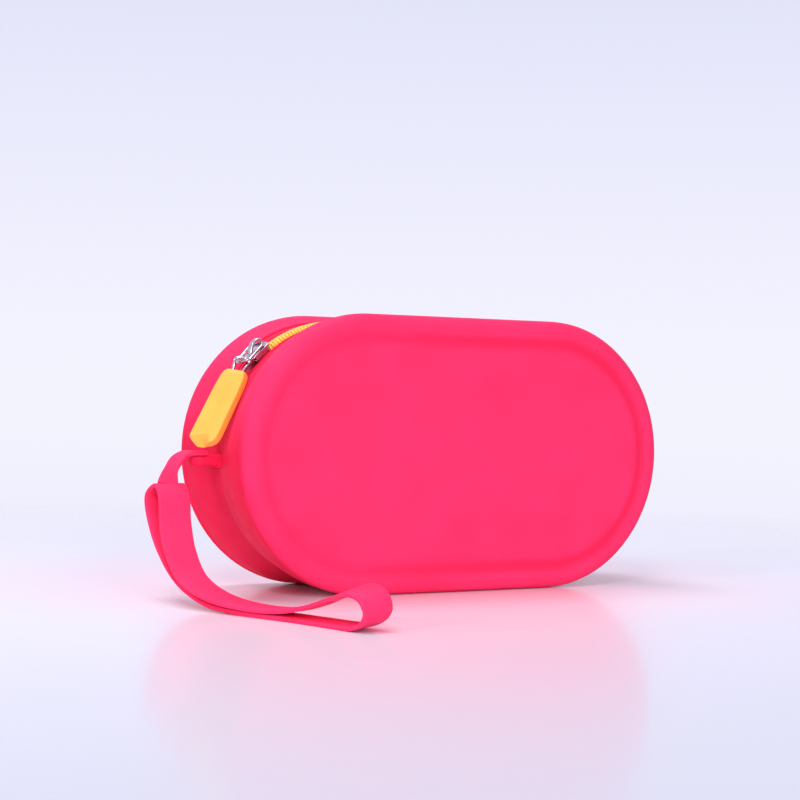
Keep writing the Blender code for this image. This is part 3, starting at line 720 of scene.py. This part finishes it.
def eased(rows, share):
    """The row part of the way from the second to the third of four, on a smooth run through them all."""
    values = []
    for before, start, end, after in zip(*rows):
        leaving, arriving = (end - before) / 2, (after - start) / 2
        squared, cubed = share**2, share**3
        value = start * (2 * cubed - 3 * squared + 1) + leaving * (cubed - 2 * squared + share)
        value += end * (3 * squared - 2 * cubed) + arriving * (cubed - squared)
        values.append(value)
    return values


def smooth_route(route, closed):
    """A route with STEPS_PER_SPAN rows for each of its own."""
    count = len(route)
    run = []
    for span_number in range(count if closed else count - 1):
        near = range(span_number - 1, span_number + 3)
        rows = [route[n % count] if closed else route[min(max(n, 0), count - 1)] for n in near]
        run += [eased(rows, step / STEPS_PER_SPAN) for step in range(STEPS_PER_SPAN)]
    return run if closed else run + [route[-1]]


def sweep(bm, places, across_at, section_at, closed=False):
    """A section carried along places: its width's direction and its outline are given by number."""
    count = len(places)
    loops = []
    for number, place in enumerate(places):
        before = places[number - 1] if closed or number else place
        after = places[(number + 1) % count] if closed or number < count - 1 else place
        ahead = (after - before).normalized()
        outward = ahead.cross(across_at(number)).normalized()
        across = outward.cross(ahead)
        loops.append([place + across * w + outward * t for w, t in section_at(number)])
    skin(bm, loops, closed)


def band(bm, route, size_at, closed=False):
    """A flat band along a route. size_at gives its width and thickness at a share of the run."""
    rows = smooth_route(route, closed)

    def across_at(number):
        heading, rise = math.radians(rows[number][3]), math.radians(rows[number][4])
        flat = math.cos(rise)
        return Vector((flat * math.cos(heading), flat * math.sin(heading), math.sin(rise)))

    def section_at(number):
        width, thickness = size_at(number / (len(rows) - 1))
        return rounded_rectangle(width / 2, thickness / 2, STRAP_EDGE)

    sweep(bm, [Vector(row[:3]) for row in rows], across_at, section_at, closed)


def loop_point(along, radius, y):
    """A point of the bag's outline: its run from the top's middle towards +X, its distance out, its depth."""
    side = math.copysign(1.0, along)
    run = abs(along)
    turn = min(max(run - ARC_X, 0.0) / CHAIN_MID, math.pi)
    across = min(run, ARC_X) - max(run - ARC_X - ARC_RUN, 0.0)
    return Vector((side * (across + radius * math.sin(turn)), y, RIM + radius * math.cos(turn)))


def slot_track(past):
    """(along, y) round the slot's outline, grown outwards by a distance."""
    half = SLOT_HALF + past
    straight = [-along for along in reversed(slot_columns()[1:])] + slot_columns()
    angles = [math.pi * i / SLOT_TURNS for i in range(1, SLOT_TURNS)]
    track = [(along, -half) for along in straight]
    track += [(SLOT_STRAIGHT + half * math.sin(a), -half * math.cos(a)) for a in angles]
    track += [(along, half) for along in reversed(straight)]
    track += [(-SLOT_STRAIGHT - half * math.sin(a), half * math.cos(a)) for a in angles]
    return track


def slot_columns():
    """The runs from the top's middle to the end of the slot's straight sides."""
    return spaced(0.0, ARC_X) + spaced(ARC_X, SLOT_STRAIGHT)[1:]


def shell_columns():
    """The runs round the whole outline, from the bottom's middle up the left and down the right."""
    bottom = ARC_X + ARC_RUN
    half = slot_columns()
    half += spaced(SLOT_STRAIGHT, PATCH_END)[1:]
    half += spaced(PATCH_END, bottom)[1:]
    half += [bottom + along for along in spaced(0.0, ARC_X)[1:]]
    return [-along for along in reversed(half[1:])] + half[:-1]


def slot_rows():
    """(distance past the slot's edge, height over the gusset): the lip, the stitches' channel, the band."""
    rows = [(0.0, -SIDE_WALL)]
    rows += [(into, -down) for into, down in rounding(SLOT_LIP)]
    middle, half = STITCH_FROM_SLOT, CHANNEL_WIDTH / 2
    rows += [(middle - half * share, -CHANNEL_DEPTH * depth) for share, depth in CHANNEL_SHAPE]
    rows.append((middle, -CHANNEL_DEPTH))
    rows += [(middle + half * share, -CHANNEL_DEPTH * depth) for share, depth in reversed(CHANNEL_SHAPE)]
    return rows + [(past, 0.0) for past in (*BAND_ROWS, GUSSET_HALF - SLOT_HALF)]


def groove_depth(inset):
    """How deep the panel's edge groove is at a distance in from the rim's edge."""
    width = GROOVE_OUTER_WIDTH if inset < GROOVE_INSET else GROOVE_INNER_WIDTH
    away = (inset - GROOVE_INSET) / width
    return GROOVE_DEPTH * math.exp(-away * away)


def groove_share(x):
    """The groove is shallower towards the left end."""
    return GROOVE_LEFT_SHARE + (1 - GROOVE_LEFT_SHARE) * smooth(x, *GROOVE_FADE)


def dish_depth(inset):
    """How far the panel is sunk inside the rim, level again towards its middle."""
    sunk = DISH_DEPTH * smooth(inset, RIM_ROUND, RIM_ROUND + DISH_RIM_RUN)
    return sunk * (1 - smooth(inset, *DISH_FADE))


def outer_profile():
    """(inset, distance from the middle plane), from the band's edge over the rim to the panel's middle."""
    slope = FOOT_INNER - GUSSET_HALF
    start = HALF_DEPTH - RIM_ROUND
    profile = []
    for share in [LEDGE_SHARE * step / 4 for step in range(4)] + spaced(LEDGE_SHARE, 1.0, SLOPE_STEP):
        inset = PARTING_LINE + (GUSSET_SINK - PARTING_LINE) * (1 - smooth(share))
        profile.append((inset, GUSSET_HALF + slope * share))
    profile += [(inset, start - before) for inset, before in BEAD]
    profile += [(max(into, RIM_SEAM), HALF_DEPTH - down) for into, down in rounding(RIM_ROUND, 12)]
    groove_end = 2 * GROOVE_INSET
    for inset in spaced(RIM_ROUND, groove_end, GROOVE_STEP)[1:] + spaced(groove_end, RIM, PANEL_STEP)[1:]:
        profile.append((inset, HALF_DEPTH - (groove_depth(inset) + dish_depth(inset))))
    return profile


def inner_profile(profile):
    """The outer profile drawn inwards by the wall, square to itself."""
    drawn = []
    last = len(profile) - 1
    for number, (inset, distance) in enumerate(profile):
        before, after = profile[max(number - 1, 0)], profile[min(number + 1, last)]
        run, rise = after[0] - before[0], after[1] - before[1]
        length = math.hypot(run, rise)
        wall = SIDE_WALL + (FACE_WALL - SIDE_WALL) * smooth(distance, FOOT_INNER, FOOT_INNER + RIM_ROUND)
        if number == 0:
            run, rise, length = 0.0, 1.0, 1.0
        if inset > 2 * GROOVE_INSET:
            run, rise, length = 1.0, 0.0, 1.0
        drawn.append((inset + wall * rise / length, distance - wall * run / length))
    return drawn


def side_radius(along, y):
    """How far out the moulding is between its rims: a flat floor at the zip, a shallow valley past it."""
    away = abs(y)
    rise = GUSSET_SINK - PARTING_LINE
    share = (away - GUSSET_HALF) / (FOOT_INNER - GUSSET_HALF)
    flat = LEDGE_RISE * smooth(share, 0.0, LEDGE_SHARE)
    flat += (rise - LEDGE_RISE) * smooth(share, LEDGE_SHARE)
    valley = VALLEY_RISE * min(away / VALLEY_HALF, 1.0)
    valley += (rise - VALLEY_RISE) * smooth(away, VALLEY_HALF, FOOT_INNER)
    return GUSSET + flat + (valley - flat) * smooth(abs(along), *VALLEY_FADE)


def outline_skin(bm, profile, side, columns, outside=False):
    """One side of the moulding: its profile swept round the whole outline."""
    loops = []
    for inset, distance in profile:
        between = outside and distance <= FOOT_INNER
        radii = [side_radius(along, distance) if between else max(RIM - inset, 0.0) for along in columns]
        loops.append([loop_point(along, radius, side * distance) for along, radius in zip(columns, radii)])
    skin(bm, loops, caps=False)


def gusset_skin(bm, rows, radius):
    """The band between the rims: rings round the slot, a patch at each of its ends, and the way round."""
    rings = []
    for past, height in rows:
        rings.append([bm.verts.new(loop_point(along, radius + height, y)) for along, y in slot_track(past)])
    join(bm, rings)
    heights = [-GUSSET_HALF * math.cos(math.pi * i / SLOT_TURNS) for i in range(SLOT_TURNS + 1)]
    columns = len(spaced(SLOT_STRAIGHT, PATCH_END)) - 1
    for side in (1, -1):
        patch = []
        for i in range(columns + 1):
            column = []
            for step, y in enumerate(heights):
                start = SLOT_STRAIGHT + GUSSET_HALF * math.sin(math.pi * step / SLOT_TURNS)
                along = start + (PATCH_END - start) * i / columns
                column.append(bm.verts.new(loop_point(side * along, radius, y)))
            patch.append(column)
        join(bm, patch, closed_rows=False)
    around = [along for along in shell_columns() if abs(along) >= PATCH_END - SAME_PLACE]
    places = sorted(heights + [-VALLEY_CREASE, VALLEY_CREASE])
    columns = []
    for along in sorted(around, key=lambda along: along < 0):
        radii = [side_radius(along, y) if radius == GUSSET else radius for y in places]
        columns.append([bm.verts.new(loop_point(along, out, y)) for out, y in zip(radii, places)])
    join(bm, columns, closed_rows=False)


def inset_at(point):
    """How far a point is in from the outline."""
    return RIM - math.hypot(max(abs(point.x) - ARC_X, 0.0), point.z - RIM)


def make_shell(silicone):
    bm = bmesh.new()
    columns = shell_columns()
    outer = outer_profile()
    inner = inner_profile(outer)
    gusset_skin(bm, slot_rows(), GUSSET)
    gusset_skin(bm, [(past, 0.0) for past in (0.0, COLUMN_STEP, GUSSET_HALF - SLOT_HALF)], INNER)
    for side in (-1, 1):
        outline_skin(bm, outer, side, columns, outside=True)
        outline_skin(bm, inner, side, columns)
    bmesh.ops.remove_doubles(bm, verts=bm.verts, dist=SKIN_JOIN)
    for vert in bm.verts:
        x, y, z = vert.co
        wave = noise.noise(vert.co / SURFACE_WAVE_SIZE)
        if abs(y) > GUSSET_HALF + WAVE_PAST_BAND and z > WAVE_ABOVE:
            vert.co.y += math.copysign(SURFACE_WAVE, y) * wave
        if abs(y) > HALF_DEPTH - FACE_BAND:
            vert.co.y += math.copysign((1 - groove_share(x)) * groove_depth(inset_at(vert.co)), y)
    add_lug(bm)
    shell = add_piece("shell_moulded", bm, "bag", "silicone", silicone, "bag_shell")
    # Painted shade in the groove, round the zip and between the rims
    store_painted_shade(shell, shell_painted_shade)


def shell_painted_shade(point):
    """How much painted shade the shell has at a point, as a mix towards crimson: in the panel's groove, round
    the zip and between the rims.
    """
    inset = inset_at(point)
    away = abs(point.y)
    shade_amount = 0.0
    if away > HALF_DEPTH - FACE_BAND:
        shade_amount = GROOVE_PAINTED_SHADE * groove_share(point.x) * groove_depth(inset) / GROOVE_DEPTH
    turn = math.atan2(max(abs(point.x) - ARC_X, 0.0), point.z - RIM)
    beyond = smooth(turn * CHAIN_MID + ARC_X, *VALLEY_FADE)
    # Painted shade on the zip's lip, on its ledge and on the band round it
    if away < GUSSET_HALF + BAND_PAINTED_SHADE_PAST:
        low = min(max(inset - GUSSET_SINK - LIP_PAINTED_SHADE_FROM, 0.0) / LIP_PAINTED_SHADE_RUN, 1.0)
        ledge = math.exp(-(((away - GUSSET_HALF - LEDGE_PAINTED_SHADE_AT) / LEDGE_PAINTED_SHADE_WIDTH) ** 2))
        shade_amount = (1 - beyond) * max(low, LEDGE_PAINTED_SHADE * ledge, BAND_PAINTED_SHADE)
    # Painted shade in the valley between the rims past the zip, and on the lug
    return max(shade_amount, SIDE_PAINTED_SHADE * beyond * smooth(HALF_DEPTH - away, *SIDE_PAINTED_SHADE_FADE))


def store_painted_shade(piece, painted_shade_at):
    """Stores painted shade for each vertex, which the silicone's material mixes towards crimson."""
    mesh = piece.data
    layer = mesh.attributes.new("painted_shade", "FLOAT", "POINT")
    for vert in mesh.vertices:
        point = vert.co / MM - Vector((0.0, FOOT_Y, 0.0))
        layer.data[vert.index].value = painted_shade_at(point)


def lug_widening(x):
    """How much the lug grows, in width and thickness alike, as it runs into the band."""
    start = -ARC_X - GUSSET - LUG_FILLET
    reach = min(max(x - start, 0.0), LUG_FILLET)
    return LUG_FILLET - math.sqrt(LUG_FILLET**2 - reach**2)


def add_lug(bm):
    """A tongue round its hole: one closed section swept round between the hole's edge and the outline."""
    half_t, hole = LUG_THICKNESS / 2, LUG_HOLE / 2
    root = -ARC_X - GUSSET + SIDE_WALL / 2
    steps = 14
    inner, outer = [], []

    def around(radius, angle):
        return Vector((LUG_X + radius * math.cos(angle), radius * math.sin(angle), 0.0))

    for i in range(2 * steps):
        angle = math.pi / 2 + math.pi * i / (2 * steps)
        inner.append(around(hole, angle))
        outer.append(around(LUG_HALF_WIDTH, angle))
    for i in range(3 * steps):
        inner.append(around(hole, 1.5 * math.pi + math.pi * i / (3 * steps)))
        share = i / steps
        x = LUG_X + (root - LUG_X) * (share if share < 1 else 1 if share < 2 else 3 - share)
        y = -1 if share < 1 else 2 * (share - 1) - 1 if share < 2 else 1
        outer.append(Vector((x, y * (LUG_HALF_WIDTH + lug_widening(x)), 0.0)))
    recess = (LUG_RECESS - LUG_HOLE) / 2
    section = [(False, into, half_t - down) for into, down in rounding(LUG_HOLE_EDGE, 3)]
    rim = [(True, into, half_t - down) for into, down in reversed(rounding(LUG_EDGE))]
    section += rim + [(from_outer, reach, -height) for from_outer, reach, height in reversed(rim)]
    recess_floor = LUG_RECESS_DEPTH - half_t
    section += [(False, recess, -half_t), (False, recess, recess_floor), (False, 0.0, recess_floor)]
    loops = []
    for start, end in zip(inner, outer):
        ahead = (end - start).normalized()
        loop = []
        for from_outer, reach, height in section:
            point = end - ahead * reach if from_outer else start + ahead * reach
            point.z = LUG_HEIGHT + height * (1 + lug_widening(point.x) / half_t)
            loop.append(point)
        loops.append(loop)
    skin(bm, loops, closed=True)


def cloth_strip(bm, places, section):
    """A strip along the zip with a UV map in millimetres."""
    layer = bm.loops.layers.uv.new("cloth")
    rows = []
    for along in places:
        points = section(along)
        rows.append([(bm.verts.new(loop_point(along, radius, y)), (along, y)) for y, radius in points])
    count = len(rows[0])
    for row, after in zip(rows, rows[1:]):
        for i in range(count):
            j = (i + 1) % count
            corners = (row[i], row[j], after[j], after[i])
            face = bm.faces.new([vert for vert, mark in corners])
            for loop, (vert, mark) in zip(face.loops, corners):
                loop[layer].uv = mark
    for row in (rows[0], rows[-1]):
        bm.faces.new([vert for vert, mark in row])


def make_tapes(cloth):
    end = SLOT_END + TAPE_PAST_SLOT
    places = sorted(spaced(-end, end, TAPE_STEP) + [CHAIN_START - FIT_GAP, CHAIN_START + FIT_GAP])
    for place, side in (("front", -1), ("back", 1)):

        def section(along, side=side):
            inner = WEDGE_HALF + FIT_GAP if along <= CHAIN_START - FIT_GAP else FIT_GAP / 2
            run = spaced(inner, TAPE_HALF)
            top = [(side * y, TAPE_TOP) for y in run]
            return [(y, TAPE_BOTTOM) for y, radius in reversed(top)] + top

        bm = bmesh.new()
        cloth_strip(bm, places, section)
        add_piece(f"tape_woven_{place}", bm, "bag", "zip_cloth", cloth, f"zip_tape_{place}")


def zip_frame(along, y=0.0):
    """The frame at a place on the zip: X along it, Y across, Z out."""
    turn = max(abs(along) - ARC_X, 0.0) / CHAIN_MID
    place = Matrix.Translation(loop_point(along, 0.0, y))
    return place @ Matrix.Rotation(math.copysign(turn, along), 4, "Y")


def add_tooth(bm, along, side):
    """A tooth: a rounded bar over the tape's edge, with a neck and a head that meets the other row."""
    width = TOOTH_WIDTH / 2
    low, high = CHAIN_BOTTOM, CHAIN_TOP
    # y out from the middle, half width along the zip, lowest and highest
    rows = (
        (CHAIN_HALF, 0.34, low + 0.5, high - 1.35),
        (CHAIN_HALF - 0.15, 0.52, low + 0.2, high - 1.0),
        (CHAIN_HALF - 0.5, 0.64, low, high - 0.55),
        (CHAIN_HALF - 1.1, width, low, high - 0.18),
        (CHAIN_HALF - 1.7, width, low, high),
        (0.7, width * 0.94, low, high),
        (0.25, width * 0.80, low + 0.1, high - 0.05),
        (-0.25, width * 0.86, low + 0.15, high - 0.05),
        (-TOOTH_REACH + 0.2, width * 0.78, low + 0.25, high - 0.15),
        (-TOOTH_REACH, width * 0.5, low + 0.6, high - 0.5),
    )
    frame = zip_frame(along)
    loops = []
    for y, half, foot, head in rows:
        middle, half_height = (foot + head) / 2, (head - foot) / 2
        outline = rounded_rectangle(half, half_height, min(half, half_height) * TOOTH_ROUND, steps=3)
        loops.append([frame @ Vector((x, side * y, middle + z)) for x, z in outline])
    skin(bm, loops)


def make_teeth(nylon):
    """Both rows of teeth, in step: where the last of them is."""
    half_pitch = TOOTH_PITCH / 2
    count = int((CHAIN_END - CHAIN_START) / half_pitch)
    for place, side, first in (("front", -1, 0), ("back", 1, 1)):
        bm = bmesh.new()
        for number in range(first, count + 1, 2):
            add_tooth(bm, CHAIN_START + TOOTH_WIDTH / 2 + half_pitch * (number - TOOTH_SHIFT), side)
        add_piece(f"teeth_{place}_moulded", bm, "bag", "zip_nylon", nylon, f"zip_teeth_{place}")
    return CHAIN_START + half_pitch * count


def make_stops(metal, last_tooth):
    height = CHAIN_HEIGHT - STOP_EDGE
    near, far = WEDGE_HALF + FIT_GAP, SLIDER_HALF - FLANGE - FIT_GAP
    top = (CHAIN_START - FIT_GAP - STOP_LENGTH / 2, STOP_LENGTH)
    stops = {
        "top_stop_front": (*top, -far, -near),
        "top_stop_back": (*top, near, far),
        "end_stop": (last_tooth + FIT_GAP + END_STOP_LENGTH / 2, END_STOP_LENGTH, -CHAIN_HALF, CHAIN_HALF),
    }
    for node_name, (along, length, low_y, high_y) in stops.items():
        bm = bmesh.new()
        half_y = (high_y - low_y) / 2
        slab(bm, length / 2, half_y, STOP_CORNER, height, STOP_EDGE)
        place = zip_frame(along, (low_y + high_y) / 2)
        bm.transform(place @ Matrix.Translation((0.0, 0.0, CHAIN_BOTTOM + height / 2)))
        add_piece(node_name + "_pressed", bm, "bag", "nickel", metal, node_name)


def make_stitches(thread):
    """Single stitches in the channel, each a short twisted thread whose ends dip into the wall."""
    bm = bmesh.new()
    layer = bm.loops.layers.uv.new("cloth")
    line = slot_track(STITCH_FROM_SLOT)
    line.append(line[0])
    runs = [math.dist(start, end) for start, end in zip(line, line[1:])]
    whole = sum(runs)
    count = round(whole / STITCH_PITCH)
    level = GUSSET - CHANNEL_DEPTH

    def at(distance):
        left = distance % whole
        for start, end, run in zip(line, line[1:], runs):
            if left <= run:
                share = left / run
                return [a + (b - a) * share for a, b in zip(start, end)]
            left -= run
        return line[-1]

    shares = [step / STITCH_STEPS for step in range(STITCH_STEPS + 1)]
    radii = [THREAD / 2 * (0.75 + 0.25 * math.sin(math.pi * share) ** 0.4) for share in shares]
    for number in range(count):
        points = []
        for share in shares:
            along, y = at(number * whole / count + STITCH_LENGTH * share)
            rise = THREAD * (STITCH_RISE * (1 - (2 * share - 1) ** 6) - STITCH_SINK)
            points.append(loop_point(along, level + rise, y))
        for share, ring in zip(shares, tube(bm, points, radii, THREAD_SIDES)):
            for turn, vert in enumerate(ring):
                mark = (STITCH_LENGTH * share, math.tau * turn / THREAD_SIDES)
                for loop in vert.link_loops:
                    loop[layer].uv = mark
    add_piece("stitches_sewn", bm, "bag", "thread", thread, "zip_stitching")


def make_slider(metal):
    """The slider's plates, side walls and wedge."""
    half = SLIDER_LENGTH / 2
    foot, head = LOW_PLATE_TOP - PLATE / 2, PLATE_TOP - PLATE / 2
    bm = bmesh.new()
    for level in (head, foot):
        slab(bm, half, SLIDER_HALF, SLIDER_CORNER, PLATE, PLATE_EDGE, (0.0, 0.0, level))
    height = head - FLANGE_FOOT
    for side in (-1, 1):
        place = (0.0, side * (SLIDER_HALF - FLANGE / 2), FLANGE_FOOT + height / 2)
        slab(bm, half - SLIDER_CORNER, FLANGE / 2, FLANGE / 3, height, PLATE_EDGE, place)
    post = WEDGE_LENGTH / 2
    place = (-WEDGE_TIP - post, 0.0, (foot + head) / 2)
    slab(bm, post, WEDGE_HALF, WEDGE_HALF * WEDGE_ROUND, head - foot, WEDGE_EDGE, place)
    add_piece("slider_cast", bm, "slider", "nickel", metal, "slider_body", frame_of=TRAVEL)


def make_crown(metal):
    """The arch on the slider that holds the ring."""
    top = CROWN_TOP - CROWN_BAND / 2
    path = [(CROWN_FRONT, PLATE_TOP - CROWN_ROOT)]
    path += [(x, top - down) for x, down in CROWN_LINE]
    path.append((CROWN_BACK, PLATE_TOP - CROWN_ROOT))

    def section_at(number):
        spread = CROWN_SPREAD * smooth(path[number][0], *CROWN_SPREAD_OVER)
        return rounded_rectangle(CROWN_HALF * (1.0 + spread), CROWN_BAND / 2, CROWN_EDGE)

    bm = bmesh.new()
    across = Vector((0.0, 1.0, 0.0))
    sweep(bm, [Vector((x, 0.0, z)) for x, z in path], lambda number: across, section_at)
    add_piece("slider_arch", bm, "slider", "nickel", metal, "slider_crown", frame_of=TRAVEL)


def make_ring(metal):
    """The flat ring, drawn from its bar in the crown."""
    half_x, half_y = (RING_LENGTH - RING_BAR) / 2, RING_HALF - RING_BAR / 2
    outline = rounded_rectangle(half_x, half_y, RING_CORNER - RING_BAR / 2, steps=8)
    outline = [Vector((x - half_x, y, 0.0)) for x, y in outline]
    places = []
    for start, end in zip(outline, outline[1:] + outline[:1]):
        count = max(1, round((end - start).length / RING_STEP))
        places += [start + (end - start) * i / count for i in range(count)]
    section = rounded_rectangle(RING_THICKNESS / 2, RING_BAR / 2, RING_EDGE)
    upright = Vector((0.0, 0.0, 1.0))
    bm = bmesh.new()
    sweep(bm, places, lambda number: upright, lambda number: section, closed=True)
    add_piece("ring_pressed", bm, "ring", "nickel", metal, "pull_ring", frame_of=RING)


def make_grip(metal, rubber):
    """The wire link, and the grip that it is moulded into."""
    turns = [math.radians(angle) for angle in range(-90, 91, LINK_STEP)]
    buried = (LINK_BURIED, LINK_BURIED / 2, 0.0)
    points = [GRIP_TURN @ Vector((-GRIP_START - reach, -LINK_HALF, 0.0)) for reach in buried]
    for turn in turns:
        across = LINK_HALF * turn / turns[-1]
        points.append(Vector((LINK_SWING * math.cos(turn), across, LINK_SWING * math.sin(turn))))
    points += [GRIP_TURN @ Vector((-GRIP_START - reach, LINK_HALF, 0.0)) for reach in reversed(buried)]
    bm = bmesh.new()
    tube(bm, points, [LINK_WIRE / 2] * len(points))
    add_piece("link_wire", bm, "grip", "nickel", metal, "grip_link", frame_of=LINK)

    bm = bmesh.new()
    rows = []
    for start, end in zip(GRIP_SECTIONS, GRIP_SECTIONS[1:]):
        step = GRIP_STEP if end[0] < FACET_START else FACET_STEP
        count = max(1, round((end[0] - start[0]) / step))
        rows += [[a + (b - a) * i / count for a, b in zip(start, end)] for i in range(count)]
    rows.append(list(GRIP_SECTIONS[-1]))
    loops = []
    for along, right, left, low, high in rows:
        half_height = (high - low) / 2
        corner = min(GRIP_EDGE, half_height * 0.6)
        outline = rounded_rectangle((left - right) / 2, half_height, corner)
        loop = []
        for (y, z), (next_y, next_z) in zip(outline, outline[1:] + outline[:1]):
            parts = FACET_PARTS if abs(next_y - y) > half_height else 1
            for i in range(parts):
                share = i / parts
                place = y + (next_y - y) * share + (left + right) / 2
                level = z + (next_z - z) * share + (high + low) / 2
                past = max(along - FACET_START - FACET_SKEW * place, 0.0)
                facet = FACET_SLOPE * past * smooth(place, *FACET_FADE)
                top = max(GRIP_TOP - facet, low + FACET_LEAST)
                loop.append(Vector((-GRIP_START - along, place, min(level, top))))
        loops.append(loop)
    skin(bm, loops)
    add_piece("grip_moulded", bm, "grip", "grip_rubber", rubber, "pull_grip", frame_of=GRIP)


def make_strap(silicone):
    """One moulding: the stud through the lug, the narrow neck and the flat loop of band."""
    bm = bmesh.new()
    band(bm, STRAP_ROUTE, lambda share: (STRAP_WIDTH, STRAP_THICKNESS), closed=True)

    def neck_size(share):
        spread = NECK_SPREAD * smooth(share, NECK_SPREAD_FROM)
        return NECK_WIDTH + spread, NECK_THICKNESS

    band(bm, NECK_ROUTE, neck_size)
    for vert in bm.verts:
        vert.co.z = max(vert.co.z, STRAP_LOWEST)
    head_foot = LUG_HEIGHT - LUG_THICKNESS / 2
    thick = LUG_RECESS_DEPTH - FIT_GAP
    stem, head = LUG_HOLE / 2 - STUD_GAP, STUD_HEAD / 2
    profile = [(STUD_POLE, 0.0)]
    profile += [(head - down, into) for into, down in rounding(STUD_EDGE)]
    profile += [(head - into, thick - down) for into, down in rounding(STUD_EDGE)]
    profile += [(stem + STUD_FILLET, thick), (stem, thick + STUD_FILLET), (stem, NECK_HEIGHT - head_foot)]
    lathe(bm, profile, (0.0, 0.0, head_foot))
    strap = add_piece("strap_moulded", bm, "strap", "silicone", silicone, "wrist_strap", frame_of=STRAP)
    # No painted shade on the strap; it still gets the attribute that its material reads.
    store_painted_shade(strap, lambda point: 0.0)


def floor_look():
    """A pale glossy sheet that keeps the shadow and the blurred reflection, and fades into the backdrop. Its
    colour is painted darker towards the front as painted shade, and pink round and behind the bag as painted
    bounce light from the bag.
    """
    made, tree, shader = new_tree("floor_pale")
    output = next(n for n in tree.nodes if n.type == "OUTPUT_MATERIAL")
    where = object_place(tree)
    apart = node(tree, "ShaderNodeSeparateXYZ", Vector=where)
    # Painted shade: the floor darkens towards the front
    front = span(tree, apart.outputs["Y"], 1.0, 0.0, *FRONT_SHADE)
    # Painted pink bounce light from the bag, round and behind its foot
    beside = maths(tree, "SUBTRACT", maths(tree, "ABSOLUTE", apart.outputs["X"]), ARC_X * MM)
    beside = maths(tree, "MAXIMUM", beside, 0.0)
    behind = maths(tree, "SUBTRACT", apart.outputs["Y"], PAINTED_BOUNCE_Y)
    spot = node(tree, "ShaderNodeCombineXYZ", X=beside, Y=behind).outputs["Vector"]
    painted_bounce = span(tree, length(tree, spot), 1.0, 0.0, *PAINTED_BOUNCE_REACH)
    near = clouded(tree, speckle(tree, 240.0, 2.0), *FLOOR_GREYS)
    colour = mix(tree, painted_bounce, mix(tree, front, near, FLOOR_FRONT_PAINTED_SHADE), FLOOR_PAINTED_BOUNCE)
    feed(tree, shader, Base_Color=colour, Roughness=0.42, Specular_IOR_Level=0.6)
    feed(tree, shader, Coat_Weight=0.35, Coat_Roughness=0.13)
    fade = span(tree, length(tree, where), 0.0, 1.0, *FLOOR_FADE)
    clear = node(tree, "ShaderNodeBsdfTransparent").outputs[0]
    feed(tree, output, Surface=mix_shaders(tree, fade, shader.outputs[0], clear))
    return made


def make_floor():
    half = FLOOR_HALF
    mesh = bpy.data.meshes.new("floor")
    corners = [(-half, -half, 0.0), (half, -half, 0.0), (half, half, 0.0), (-half, half, 0.0)]
    mesh.from_pydata(corners, [], [(0, 1, 2, 3)])
    mesh.materials.append(floor_look())
    made = new_object("floor", mesh)


def make_world():
    """A pale sky by height for what is seen and mirrored, and an even light for the rest."""
    world = bpy.data.worlds.new("studio")
    bpy.context.scene.world = world
    world.use_nodes = True
    tree = world.node_tree
    seen = tree.nodes["Background"]
    output = next(n for n in tree.nodes if n.type == "OUTPUT_WORLD")
    where = node(tree, "ShaderNodeTexCoord").outputs["Generated"]
    height = node(tree, "ShaderNodeSeparateXYZ", Vector=where).outputs["Z"]
    lift = span(tree, height, 0.0, 1.0, -SKY_REACH, SKY_REACH)
    feed(tree, seen, Color=ramp(tree, lift, *BACKDROP_RAMP))
    even = node(tree, "ShaderNodeBackground", Color=EVEN_LIGHT, Strength=0.36)
    path = node(tree, "ShaderNodeLightPath").outputs
    direct = maths(tree, "MAXIMUM", path["Is Camera Ray"], path["Is Glossy Ray"])
    direct = maths(tree, "MAXIMUM", direct, path["Is Transmission Ray"])
    feed(tree, output, Surface=mix_shaders(tree, direct, even.outputs[0], seen.outputs[0]))


def add_lamp(name, place, size, power):
    """A round soft lamp that faces the bag."""
    light = bpy.data.lights.new(name, "AREA")
    light.shape = "DISK"
    light.size = size
    light.energy = power
    made = new_object(name, light)
    made.location = place
    made.rotation_euler = (Vector(LAMP_TARGET) - Vector(place)).to_track_quat("-Z", "Y").to_euler()


def make_camera():
    camera = bpy.data.cameras.new("photo_camera")
    camera.lens = CAMERA_LENS
    camera.sensor_width = CAMERA_SENSOR
    made = new_object("photo_camera", camera)
    turn = Matrix((Vector(CAMERA_RIGHT), Vector(CAMERA_UP), -Vector(CAMERA_AHEAD))).transposed()
    made.matrix_world = Matrix.Translation(CAMERA_AT) @ turn.to_4x4()
    bpy.context.scene.camera = made


def build():
    metal = nickel_look()
    make_shell(silicone_look("silicone_soft", THICK_PINKS))
    make_tapes(tape_look())
    last_tooth = make_teeth(nylon_look())
    make_stops(metal, last_tooth)
    make_stitches(thread_look())
    make_slider(metal)
    make_crown(metal)
    make_ring(metal)
    make_grip(metal, rubber_look())
    make_strap(silicone_look("silicone_thin", THIN_PINKS))


def stage():
    make_camera()
    make_world()
    make_floor()
    for lamp in LAMPS:
        add_lamp(*lamp)
    bpy.context.scene.view_settings.view_transform = "Standard"


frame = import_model()
stage()
build()
